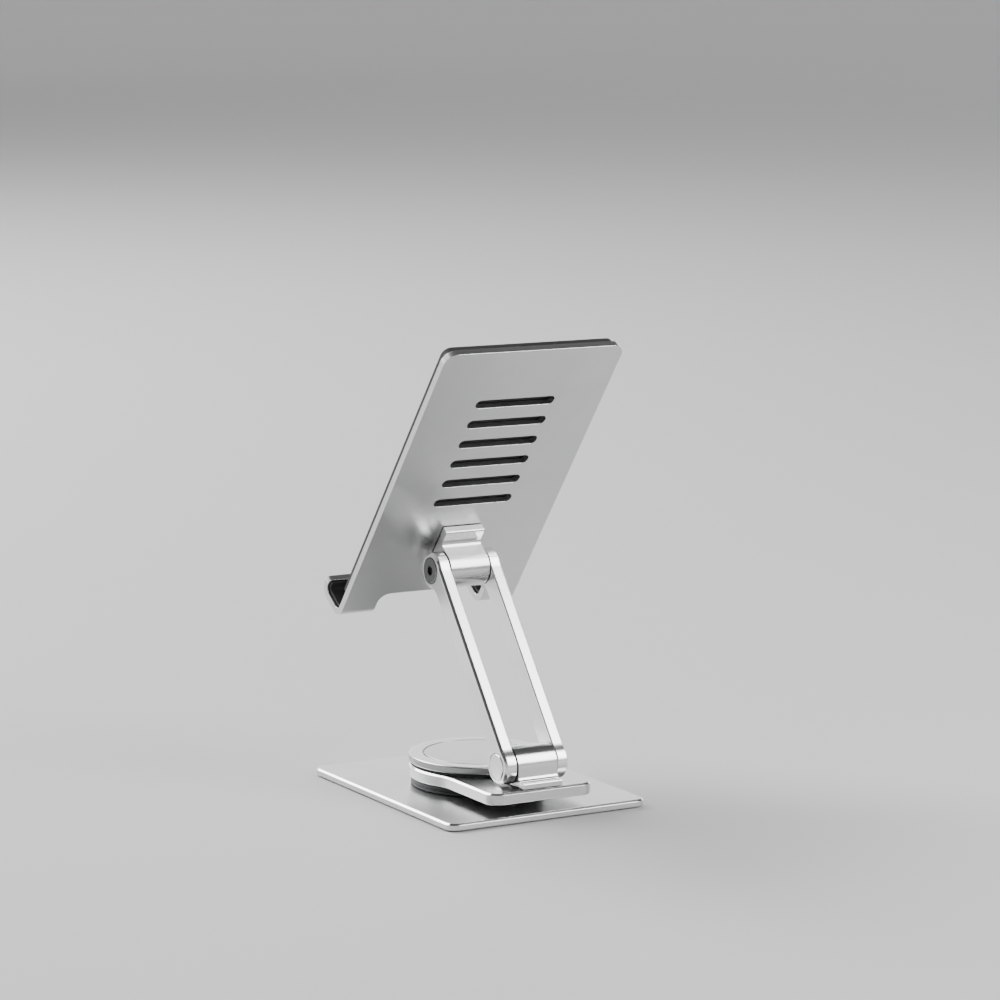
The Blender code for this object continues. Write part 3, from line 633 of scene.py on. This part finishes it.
def slot_tree():
    """Cuts a column of pill-shaped slots through a sheet that stands along Z."""
    t = Tree("slotted_sheet", [("Width", "Float"), ("Height", "Float"), ("Pitch", "Float"),
                               ("Depth", "Float"), ("Middle", "Vector"), ("Turn", "Rotation"),
                               ("Count", "Int")])
    height = t.take("Height")
    outline = t.made("GeometryNodeCurvePrimitiveQuadrilateral", {"mode": "RECTANGLE"},
                     {"Width": t.take("Width"), "Height": height})
    pill = t.made("GeometryNodeFilletCurve", {"mode": "POLY"},
                  {"Curve": outline, "Count": 14, "Radius": t.calc("MULTIPLY", height, 0.4995)})
    face = t.made("GeometryNodeFillCurve", {"mode": "NGONS"}, {"Curve": pill})
    grown = t.made("GeometryNodeExtrudeMesh", {"mode": "FACES"},
                   {"Mesh": face, "Offset Scale": t.take("Depth"), "Individual": False})
    floor = t.made("GeometryNodeFlipFaces", {}, {"Mesh": face})
    both = t.made("GeometryNodeJoinGeometry", {}, {"Geometry": [grown, floor]})
    punch = t.made("GeometryNodeMergeByDistance", {}, {"Geometry": both, "Distance": 1e-7})
    centred = t.moved(punch, t.spot(z=t.calc("MULTIPLY", t.take("Depth"), -0.5)))
    step = t.spot(y=t.take("Pitch"))
    rise = t.calc("MULTIPLY", t.calc("SUBTRACT", t.take("Count"), 1.0), -0.5)
    column = t.made("GeometryNodeMeshLine", {"mode": "OFFSET"},
                    {"Count": t.take("Count"), "Offset": step,
                     "Start Location": t.spot(y=t.calc("MULTIPLY", t.take("Pitch"), rise))})
    punches = t.made("GeometryNodeInstanceOnPoints", {}, {"Points": column, "Instance": centred})
    placed = t.moved(t.made("GeometryNodeRealizeInstances", {}, {"Geometry": punches}),
                     t.take("Middle"), t.take("Turn"))
    return t.finish(t.boolean("DIFFERENCE", t.take("Geometry"), [placed]))


def rib_tree():
    """Adds rows of rounded grip ribs under a pad, across its width."""
    t = Tree("ribbed_pad", [("Length", "Float"), ("Radius", "Float"), ("Pitch", "Float"),
                            ("Level", "Float"), ("Count", "Int"), ("Rubber", "Material")])
    rib = t.made("GeometryNodeMeshCylinder", {"fill_type": "NGON"},
                 {"Vertices": 16, "Radius": t.take("Radius"), "Depth": t.take("Length")})
    quarter = t.made("FunctionNodeEulerToRotation", {}, {"Euler": (0.0, math.pi / 2, 0.0)})
    half = t.calc("MULTIPLY", t.calc("SUBTRACT", t.take("Count"), 1.0), -0.5)
    rows = t.made("GeometryNodeMeshLine", {"mode": "OFFSET"},
                  {"Count": t.take("Count"), "Offset": t.spot(y=t.take("Pitch")),
                   "Start Location": t.spot(y=t.calc("MULTIPLY", t.take("Pitch"), half),
                                            z=t.take("Level"))})
    ribs = t.made("GeometryNodeInstanceOnPoints", {},
                  {"Points": rows, "Instance": rib, "Rotation": quarter})
    solid = t.made("GeometryNodeRealizeInstances", {}, {"Geometry": ribs})
    return t.finish(t.boolean("UNION", t.take("Geometry"), [solid]), t.take("Rubber"))


SCREWS = screw_tree()


def paint_socket_shade(mesh, point, facing, radius, depth):
    """Gives the walls and floor of a socket the second finish, as painted shade in the recess."""
    for face in mesh.polygons:
        away = face.center / MM - point
        sunk = -away.dot(facing)
        if 0.05 < sunk < depth + 0.05 and (away + facing * sunk).length < radius:
            face.material_index = CUT_OR_SHADE


def screws(name, body, finish, nodes, places, sizes):
    """One mesh of screws. places holds (point, facing, plain) for each, in millimetres."""
    mesh = bpy.data.meshes.new(name)
    mesh.from_pydata([Vector(place[0]) * MM for place in places], [], [])
    facing = mesh.attributes.new("facing", "FLOAT_VECTOR", "POINT")
    plain = mesh.attributes.new("plain", "BOOLEAN", "POINT")
    for i, place in enumerate(places):
        facing.data[i].vector = place[1]
        plain.data[i].value = place[2]
    obj = bpy.data.objects.new(name, mesh)
    bpy.context.scene.collection.objects.link(obj)
    values = {label: number * MM for label, number in sizes.items()}
    run_tree(obj, SCREWS, {**values, "Metal": finish})
    for face in obj.data.polygons:
        face.material_index = MAIN
    # Painted shade: socket walls and floors take the dark second finish, darker than the head.
    for point, way, _ in places:
        paint_socket_shade(obj.data, Vector(point), Vector(way), sizes["Socket Radius"], sizes["Socket Depth"])
    soften(obj, 0.06, 2)
    return finished(obj, body, [finish, OXIDE], nodes)


# ---------------------------------------------------------------- base plate and foot pad
BASE_CORNER = 4.0
BASE_CHAMFER = 0.6
STUD_R = 4.0
STUD_HEAD_T = 0.6
RIB_R = 0.5
RIB_PITCH = 3.0
PAD_BOTTOM = 0.45           # the ribs stand down from here to the table


def make_base():
    w, d, _ = size("base_plate")
    bottom = low("base_plate").z
    top = high("base_plate").z
    bm = extrude(rounded_rect(w, d, BASE_CORNER), bottom, top)
    chamfer(bm, flat_edges(bm, 2, top), BASE_CHAMFER)
    chamfer(bm, flat_edges(bm, 2, bottom), 0.25, MAIN)
    obj = as_object("base_plate_finished", bm)
    fw, fd, _ = size("foot_pad")
    recess_top = high("foot_pad").z + GAP
    stud_r = size("swivel_stud").x / 2 + GAP
    neck_r = STUD_R + GAP
    pocket_top = recess_top + STUD_HEAD_T + GAP
    recess = rounded_rect(fw + 2 * GAP, fd + 2 * GAP, BASE_CORNER + GAP)
    cut_with(obj, [
        as_object("t1", extrude(recess, -1, recess_top)),
        as_object("t2", turned([(0, 0), (stud_r, 0), (stud_r, pocket_top), (neck_r, pocket_top),
                                (neck_r, top + 1), (0, top + 1)], 64))])
    soften(obj, 0.09)
    finished(obj, "base", [PLATE, EDGE], ["base_plate"])


def make_foot_pad():
    w, d, t = size("foot_pad")
    bm = extrude(rounded_rect(w, d, BASE_CORNER), PAD_BOTTOM, t)
    chamfer(bm, flat_edges(bm, 2, PAD_BOTTOM), 0.25, MAIN, 3)
    obj = as_object("foot_pad_ribbed", bm)
    count = int((d - 8.0) / RIB_PITCH)
    run_tree(obj, rib_tree(), {"Length": (w - 6.0) * MM, "Radius": RIB_R * MM, "Pitch": RIB_PITCH * MM,
                               "Level": RIB_R * MM, "Count": count, "Rubber": SILICONE})
    soften(obj, 0.06, 2)
    finished(obj, "base", [SILICONE], ["foot_pad"])


# ---------------------------------------------------------------- swivel
BEARING_BORE_R = 9.0
NUT_POCKET_R = 11.0


def make_bearing():
    r = size("bearing_ring").x / 2
    z0 = low("bearing_ring").z
    z1 = high("bearing_ring").z
    mid = (z0 + z1) / 2
    profile = soft_loop([(BEARING_BORE_R, z0), (r, z0), (r, mid - 0.35), (r - 0.35, mid - 0.2),
                         (r - 0.35, mid + 0.2), (r, mid + 0.35), (r, z1), (BEARING_BORE_R, z1)], 0.1)
    obj = as_object("bearing_ring_turned", turned(profile, 160))
    finished(obj, "base", [BEARING], ["bearing_ring"])


PLATFORM_CHAMFER = 0.6
TONGUE_WIDTH = 40.0
TONGUE_CORNER = 5.0
WAIST_FILLET = 12.0


def platform_outline(r, end_y):
    half = TONGUE_WIDTH / 2
    waist_y, waist_x, _ = concave_fillet(r, half, WAIST_FILLET)
    waist = math.degrees(math.atan2(waist_y, waist_x))
    corner_x = half - TONGUE_CORNER
    corner_y = end_y - TONGUE_CORNER
    pts = arc(0, 0, r, 180 - waist, 360 + waist, 120)
    pts += arc(waist_x, waist_y, WAIST_FILLET, 180 + waist, 180, 14)
    pts += arc(corner_x, corner_y, TONGUE_CORNER, 0, 90, 14)
    pts += arc(-corner_x, corner_y, TONGUE_CORNER, 90, 180, 14)
    return pts + arc(-waist_x, waist_y, WAIST_FILLET, 0, -waist, 14)


def make_platform():
    r = size("cap_ring").x / 2
    z0 = low("swivel_platform").z
    z1 = high("swivel_platform").z
    bm = extrude(platform_outline(r, high("swivel_platform").y), z0, z1)
    chamfer(bm, flat_edges(bm, 2, z1), PLATFORM_CHAMFER)
    chamfer(bm, flat_edges(bm, 2, z0), 0.3)
    obj = as_object("swivel_platform_finished", bm)
    bore_r = STUD_R + GAP
    pocket_z = low("wave_washer").z - GAP
    tools = [as_object("t1", turned([(0, z0 - 1), (bore_r, z0 - 1), (bore_r, pocket_z),
                                     (NUT_POCKET_R, pocket_z), (NUT_POCKET_R, z1 + 1), (0, z1 + 1)], 64))]
    for node in ("lower_block_screw_1", "lower_block_screw_2"):
        lo, hi = low(node), high(node)
        at = Matrix.Translation(((lo.x + hi.x) / 2, (lo.y + hi.y) / 2, 0))
        tools.append(as_object("t2", countersink(lo.z, z1 + 1), at))
    cut_with(obj, tools)
    soften(obj, 0.09)
    finished(obj, "turntable", [PLATFORM, EDGE], ["swivel_platform"])


SCREW_HEAD_R = 2.3
SCREW_HEAD_T = 1.2
SCREW_SHANK_R = 1.1


def countersink(face, end):
    """Hole for a countersunk screw whose head face is at one level, up to another."""
    slope = (SCREW_HEAD_R - SCREW_SHANK_R) / SCREW_HEAD_T
    mouth = SCREW_HEAD_R + GAP * math.hypot(1, slope)
    shank = SCREW_SHANK_R + GAP
    return turned([(0, face - 1), (mouth, face - 1), (mouth, face), (shank, face + (mouth - shank) / slope),
                   (shank, end), (0, end)], 48)


CAP_GROOVE = 0.6            # fine groove round the disc
CAP_SHELF = 2.5             # shelf that the disc lies on, and its thickness
CAP_ROOF = 1.0
CAP_SKIRT = 1.8
CAP_ROUND = 0.5             # lower edge of the rim
GASKET_W = 2.0


def make_cap():
    r = size("cap_ring").x / 2
    z0 = low("cap_ring").z
    z1 = high("cap_ring").z
    disc_r = size("cap_disc").x / 2
    disc_z = low("cap_disc").z
    seat_r = disc_r + CAP_GROOVE
    seat_z = disc_z - GAP
    shelf_r = seat_r - CAP_SHELF
    roof_z = seat_z - CAP_ROOF
    ring = [(shelf_r, roof_z), (r - CAP_SKIRT, roof_z), (r - CAP_SKIRT, z0)]
    ring += arc(r - CAP_ROUND, z0 + CAP_ROUND, CAP_ROUND, -90, 0, 8)
    ring += [(r, z1 - 0.52)]
    ring += arc(r - 0.62, z1 - 0.62, 0.62, 12, 78, 8)
    ring += [(r - 0.55, z1), (seat_r + 0.12, z1), (seat_r, z1 - 0.12), (seat_r, seat_z), (shelf_r, seat_z)]
    obj = as_object("cap_ring_turned", turned(ring, 180))
    # The rim's side faces take the darker copy of its finish: painted shade.
    for face in obj.data.polygons:
        face.material_index = CUT_OR_SHADE if abs(face.normal.z) < 0.6 else MAIN
    finished(obj, "turntable", [RIM, RIM_SIDE_PAINTED_SHADE], ["cap_ring"])
    disc = [(0, disc_z), (disc_r, disc_z)]
    disc += arc(disc_r - 0.18, z1 - 0.18, 0.18, 0, 90, 5)
    disc += [(disc_r * share, z1) for share in (0.75, 0.5, 0.25, 0.0)]
    obj = as_object("cap_disc_turned", turned(disc, 180))
    finished(obj, "turntable", [DISC], ["cap_disc"])
    lo, hi = low("cap_gasket"), high("cap_gasket")
    inner = hi.x - GASKET_W
    loop = soft_loop([(inner, lo.z), (hi.x, lo.z), (hi.x, hi.z), (inner, hi.z)], 0.1)
    obj = as_object("cap_gasket_moulded", turned(loop, 160))
    finished(obj, "turntable", [SILICONE], ["cap_gasket"])


# ---------------------------------------------------------------- hinge blocks
BARREL_R = 6.2
BLOCK_FILLET = 1.6
BLOCK_CORNER = 1.6
AXLE_BORE_R = 2.9
WASHER_SEAT = (4.9, 0.8)    # radius and depth of the seat for a thrust washer


def block_outline(axis_h, foot_t, front, back):
    """Side profile of a barrel on a foot, with the barrel's axis at (0, 0)."""
    top = foot_t - axis_h
    end_r = min(0.6, foot_t / 2)

    def half(foot):
        fillet = min(BLOCK_FILLET, foot - end_r - BARREL_R)
        pts = [(foot, -axis_h)]
        pts += arc(foot - end_r, top - end_r, end_r, 0, 90, 6)
        pts += arc(BARREL_R + fillet, top + fillet, fillet, 270, 180, 10)
        return pts + arc(0, 0, BARREL_R, 0, 90, 26)

    return half(back) + [(-y, z) for y, z in reversed(half(front))]


def make_block(name, node, body, space, foot_t, taps, tap_depth, finish):
    lo, hi = in_space(node, space)
    end = hi.x
    bm = extrude(block_outline(-lo.z, foot_t, -lo.y, hi.y), -end, end, "X")
    corners = [e for e in bm.edges
               if abs(e.verts[0].co.x - e.verts[1].co.x) < 1e-4
               and any(all(abs(v.co.y - level) < 1e-4 for v in e.verts) for level in (lo.y, hi.y))]
    chamfer(bm, corners, min(BLOCK_CORNER, -lo.y - BARREL_R), MAIN, 6)
    obj = as_object(name, bm, space)
    seat_r, seat = WASHER_SEAT
    bore = [(0, -end - 1), (seat_r, -end - 1), (seat_r, -end + seat), (AXLE_BORE_R, -end + seat),
            (AXLE_BORE_R, end - seat), (seat_r, end - seat), (seat_r, end + 1), (0, end + 1)]
    tools = [as_object("t1", turned(bore, 64, "X"), space)]
    for x, y in taps:
        r = SCREW_SHANK_R + GAP
        at = space @ Matrix.Translation((x, y, 0))
        tools.append(as_object("t2", turned([(0, lo.z - 1), (r, lo.z - 1), (r, lo.z + tap_depth),
                                             (0, lo.z + tap_depth)], 32), at))
    cut_with(obj, tools)
    soften(obj, 0.18)
    finished(obj, body, [finish], [node])


LOWER_SCREW_Y = 4.3
UPPER_SCREW_X = 4.2
UPPER_SCREW_Y = 4.0
UPPER_TAPS = [(x, y) for y in (-UPPER_SCREW_Y, UPPER_SCREW_Y) for x in (-UPPER_SCREW_X, UPPER_SCREW_X)]


# ---------------------------------------------------------------- arms
HUB_R = 6.1
ARM_BACK_EDGE = 5.7
ARM_FRONT_EDGE = 1.8
ARM_BACK_FILLET = 10.0
ARM_FRONT_FILLET = 6.0
ARM_CHAMFER = 0.8
PIN_HEAD_R = 4.3
PIN_HEAD_T = 1.2
PIN_KEY = 3.0               # hex key across its flats


def arm_outline():
    fx, fy, fa = concave_fillet(HUB_R, ARM_FRONT_EDGE, ARM_FRONT_FILLET)
    bx, by, ba = concave_fillet(HUB_R, ARM_BACK_EDGE, ARM_BACK_FILLET)
    pts = arc(0, 0, HUB_R, fa, 360 - ba, 60)
    pts += arc(bx, -by, ARM_BACK_FILLET, 180 - ba, 90, 8)
    pts += arc(ARM_LENGTH - bx, -by, ARM_BACK_FILLET, 90, ba, 8)
    pts += arc(ARM_LENGTH, 0, HUB_R, -180 + ba, 180 - fa, 60)
    pts += arc(ARM_LENGTH - fx, fy, ARM_FRONT_FILLET, -fa, -90, 12)
    return pts + arc(fx, fy, ARM_FRONT_FILLET, -90, -180 + fa, 12)


def make_arm(side, sign):
    node = "arm_" + side
    inner = low(node).x if sign > 0 else high(node).x
    outer = high(node).x if sign > 0 else low(node).x
    bm = extrude(arm_outline(), inner, outer, "X")
    chamfer(bm, flat_edges(bm, 0, outer), ARM_CHAMFER)
    chamfer(bm, flat_edges(bm, 0, inner), 0.3, MAIN)
    obj = as_object(node + "_finished", bm, ARM_SPACE)
    face = abs(outer) + 0.2
    floor = face - PIN_HEAD_T - GAP
    seat_r = PIN_HEAD_R + GAP
    tools = []
    for y in (0.0, ARM_LENGTH):
        bm = turned([(0, abs(inner) - 1), (AXLE_BORE_R, abs(inner) - 1), (AXLE_BORE_R, floor),
                     (seat_r, floor), (seat_r, abs(outer) + 1), (0, abs(outer) + 1)], 72, "X")
        if sign < 0:
            bmesh.ops.rotate(bm, verts=bm.verts, cent=(0, 0, 0), matrix=Matrix.Rotation(math.pi, 3, "Z"))
        tools.append(as_object("t1", bm, ARM_SPACE @ Matrix.Translation((0, y, 0))))
    cut_with(obj, tools)
    soften(obj, 0.12)
    finished(obj, "arms", [ARM, EDGE], [node])


def make_end_screws(prefix, at, finish, plain_side=None):
    nodes = ["%s_end_screw_%s" % (prefix, side) for side in ("left", "right")]
    face = high(nodes[0]).x
    places = [((sign * face, at.y, at.z), (sign, 0, 0), sign == plain_side) for sign in (1, -1)]
    screws(prefix + "_end_screws", "arms", finish, nodes, places,
           {"Head Radius": PIN_HEAD_R, "Head Base Radius": PIN_HEAD_R, "Head Height": PIN_HEAD_T,
            "Rim": 0.3, "Shank Radius": 1.2, "Length": PIN_HEAD_T + 2.6,
            "Socket Radius": PIN_KEY / math.sqrt(3), "Socket Depth": 0.9})


def make_block_screws(prefix, body, nodes, space):
    """Countersunk screws under a hinge block, their head faces on the block's own side of the sheet."""
    places = []
    for node in nodes:
        lo, hi = in_space(node, space)
        mid = (lo + hi) / 2
        places.append((space @ Vector((mid.x, mid.y, lo.z)), space.to_3x3() @ Vector((0, 0, -1)), False))
        length = hi.z - lo.z
    screws(prefix + "_block_screws", body, OXIDE, nodes, places,
           {"Head Radius": SCREW_HEAD_R, "Head Base Radius": SCREW_SHANK_R, "Head Height": SCREW_HEAD_T,
            "Rim": 0.05, "Shank Radius": SCREW_SHANK_R - 0.01, "Length": length, "Socket Radius": 0.9,
            "Socket Depth": 0.6})


# ---------------------------------------------------------------- back panel
PANEL_T = 2.3
PANEL_CORNER = 4.5
HOOK_BEND = 4.5
LIP_CORNER = 1.5
PANEL_CHAMFER = 0.45
NOTCH = (42.0, 10.8, 4.0)   # width, height above the hooks' underside, corner radius
SLOT_COUNT = 6
SLOT = (30.0, 3.6, 9.0)     # width, height, pitch
FIRST_SLOT = 23.5           # above the hinge axis

panel_lo, panel_hi = in_space("back_panel", PANEL_SPACE)
BACK = panel_hi.y
FRONT = BACK - PANEL_T
LIP = panel_lo.y
SHELF = panel_lo.z
TOP = panel_hi.z
LIP_HEIGHT = 6.2
LIP_TOP = SHELF + LIP_HEIGHT


def hook_line(inset, start, end, steps=14):
    """(y, z) points down the panel, along the shelf and up the lip, at a distance inside the outer face."""
    r = HOOK_BEND - inset
    bend_z = SHELF + HOOK_BEND
    pts = [(BACK - inset, start)]
    pts += arc(BACK - HOOK_BEND, bend_z, r, 0, -90, steps)
    pts += arc(LIP + HOOK_BEND, bend_z, r, -90, -180, steps)
    return pts + [(LIP + inset, end)]


def sheet_corners(bm, level, half):
    """Edges through the sheet at its two sides, at one height."""
    return [e for e in flat_edges(bm, 2, level)
            if abs(e.verts[0].co.x - e.verts[1].co.x) < 1e-4 and abs(abs(e.verts[0].co.x) - half) < 1e-4]


def notch_outline(w, h, r):
    x = w / 2 - r
    z = SHELF + h - r
    return arc(x, z, r, 0, 90, 12) + arc(-x, z, r, 90, 180, 12) + [(-w / 2, SHELF - 5), (w / 2, SHELF - 5)]


def make_panel():
    half = panel_hi.x
    outline = hook_line(0, TOP, LIP_TOP) + hook_line(PANEL_T, TOP, LIP_TOP)[::-1]
    bm = extrude(outline, -half, half, "X")
    chamfer(bm, sheet_corners(bm, TOP, half), PANEL_CORNER, MAIN, 14)
    chamfer(bm, sheet_corners(bm, LIP_TOP, half), LIP_CORNER, MAIN, 8)
    obj = as_object("back_panel_finished", bm, PANEL_SPACE)
    tools = [as_object("t1", extrude(notch_outline(*NOTCH), LIP - 5, BACK + 5, "Y"), PANEL_SPACE)]
    cut_with(obj, tools)
    width, height, pitch = SLOT
    middle = PANEL_SPACE @ Vector((0, (BACK + FRONT) / 2, FIRST_SLOT + pitch * (SLOT_COUNT - 1) / 2))
    turn = (PANEL_SPACE @ Matrix.Rotation(math.pi / 2, 4, "X")).to_quaternion()
    run_tree(obj, slot_tree(), {"Width": width * MM, "Height": height * MM, "Pitch": pitch * MM,
                                "Depth": 3 * PANEL_T * MM, "Middle": middle * MM, "Turn": turn.to_euler(),
                                "Count": SLOT_COUNT})
    soften(obj, PANEL_CHAMFER, 1, 50.0, CUT_OR_SHADE)
    obj.data = baked_mesh(obj)
    obj.modifiers.clear()
    holes = [as_object("t2", countersink(FOOT_Z, -FOOT_Z), UPPER_SPACE @ Matrix.Translation((x, y, 0)))
             for x, y in UPPER_TAPS]
    cut_with(obj, holes)
    soften(obj, 0.07)
    finished(obj, "panel", [PANEL, EDGE], ["back_panel"])


FOOT_Z = in_space("upper_block_screw_1", UPPER_SPACE)[0].z


# ---------------------------------------------------------------- silicone
PAD_CORNER = 3.2
LINER_T = 0.8


def make_front_pad():
    lo, hi = in_space("front_pad", PANEL_SPACE)
    mid = (lo.z + hi.z) / 2
    outline = [(x, z + mid) for x, z in rounded_rect(hi.x - lo.x, hi.z - lo.z, PAD_CORNER)]
    obj = as_object("front_pad_moulded", extrude(outline, lo.y, hi.y, "Y"), PANEL_SPACE)
    width, height, corner = NOTCH
    inset = panel_hi.x - hi.x
    notch = notch_outline(width + 2 * inset, height + inset, corner)
    cut_with(obj, [as_object("t1", extrude(notch, LIP - 5, BACK + 5, "Y"), PANEL_SPACE)])
    soften(obj, 0.5, 5)
    finished(obj, "panel", [SILICONE], ["front_pad"])


def make_hook_pad(side):
    node = "hook_pad_" + side
    lo, hi = in_space(node, PANEL_SPACE)
    outer = PANEL_T + GAP
    inner = outer + LINER_T
    strip = hook_line(outer, hi.z, LIP_TOP - 0.3, 10) + hook_line(inner, hi.z, LIP_TOP - 0.3, 10)[::-1]
    obj = as_object(node + "_moulded", extrude(strip, lo.x, hi.x, "X"), PANEL_SPACE)
    soften(obj, 0.2, 3)
    finished(obj, "panel", [SILICONE], [node])


# ---------------------------------------------------------------- build
make_base()
make_foot_pad()
make_bearing()
make_platform()
make_cap()
make_block("lower_hinge_block_finished", "lower_hinge_block", "turntable", LOWER_SPACE, 1.9,
           [(0, -LOWER_SCREW_Y), (0, LOWER_SCREW_Y)], 2.7, LOWER_BLOCK)
make_block("upper_hinge_block_finished", "upper_hinge_block", "panel", UPPER_SPACE, 2.7, UPPER_TAPS, 4.7,
           UPPER_BLOCK_PAINTED_SHADE)
for side, sign in (("left", 1), ("right", -1)):
    make_arm(side, sign)
    make_hook_pad(side)
make_end_screws("lower", LOWER, LOWER_STEEL, plain_side=1)
make_end_screws("upper", UPPER, UPPER_STEEL_PAINTED_SHADE)
make_block_screws("lower", "turntable", ["lower_block_screw_%d" % i for i in (1, 2)], LOWER_SPACE)
make_block_screws("upper", "panel", ["upper_block_screw_%d" % i for i in (1, 2, 3, 4)], UPPER_SPACE)
make_panel()
make_front_pad()

for node, finish in (("swivel_stud", STUD_STEEL), ("lock_nut", STUD_STEEL), ("wave_washer", OXIDE),
                     ("lower_axle", LOWER_STEEL), ("upper_axle", UPPER_STEEL_PAINTED_SHADE),
                     ("lower_thrust_washer_left", OXIDE), ("lower_thrust_washer_right", OXIDE),
                     ("upper_thrust_washer_left", OXIDE), ("upper_thrust_washer_right", OXIDE)):
    kept = frame["nodes"][node]
    kept.data.materials.clear()
    kept.data.materials.append(finish)

# ---------------------------------------------------------------- floor and light
FLOOR_SIZE = 60.0


def make_floor():
    f = Finish("pale_floor_painted_far_light", specular=0.25)
    at = f.coordinates()
    away = f.value("ShaderNodeVectorMath", {"operation": "LENGTH"}, {0: at}, output=1)
    near = f.mix(f.noise(at, 3.0, detail=3.0), rgb(0.62), rgb(0.65))
    # Painted light: the floor turns paler far from the stand, where the lamps reach little.
    tone = f.mix(f.span(away, 0.5, 7.0), near, rgb(0.97))
    surface = f.done(tone, 0.55 + (f.noise(at, 40.0) - 0.5) * 0.05)
    mesh = bpy.data.meshes.new("floor")
    half = FLOOR_SIZE / 2
    corners = [(-half, -half, 0), (half, -half, 0), (half, half, 0), (-half, half, 0)]
    mesh.from_pydata(corners, [], [(0, 1, 2, 3)])
    mesh.materials.append(surface)
    floor = bpy.data.objects.new("floor", mesh)
    bpy.context.scene.collection.objects.link(floor)


def softbox(name, direction, distance, width, height, watts, aim=(0.0, 0.0, 0.07)):
    """A soft area light in a direction from the stand, turned to face it."""
    light = bpy.data.lights.new(name, "AREA")
    light.shape = "RECTANGLE"
    light.size = width
    light.size_y = height
    light.energy = watts
    lamp = bpy.data.objects.new(name, light)
    bpy.context.scene.collection.objects.link(lamp)
    way = Vector(direction).normalized()
    lamp.location = Vector(aim) + way * distance
    lamp.rotation_mode = "QUATERNION"
    lamp.rotation_quaternion = way.to_track_quat("Z", "Y")


def make_sky(behind, ahead, zenith):
    """Grey studio surroundings: bright near the horizon, most of all past the screen side, dark overhead."""
    world = bpy.data.worlds.new("studio")
    bpy.context.scene.world = world
    world.use_nodes = True
    tree = world.node_tree

    def mapped(value, ends, out):
        node = tree.nodes.new("ShaderNodeMapRange")
        node.interpolation_type = "SMOOTHSTEP"
        tree.links.new(value, node.inputs[0])
        for i, item in enumerate(ends + out, 1):
            if isinstance(item, bpy.types.NodeSocket):
                tree.links.new(item, node.inputs[i])
            else:
                node.inputs[i].default_value = item
        return node.outputs[0]

    split = tree.nodes.new("ShaderNodeSeparateXYZ")
    tree.links.new(tree.nodes.new("ShaderNodeTexCoord").outputs["Generated"], split.inputs[0])
    glow = mapped(split.outputs["Y"], (-0.6, 0.5), (behind, ahead))
    level = mapped(split.outputs["Z"], (0.12, 0.48), (glow, zenith))
    tree.links.new(level, tree.nodes["Background"].inputs["Strength"])
    tree.nodes["Background"].inputs["Color"].default_value = (1.0, 1.0, 1.0, 1.0)


make_floor()
make_sky(2.9, 0.70, 0.10)
softbox("key", (-0.54, 0.66, 0.52), 1.1, 0.45, 0.8, 10.5)
softbox("back", (0.30, -0.68, 0.67), 2.3, 2.1, 1.6, 100.0)
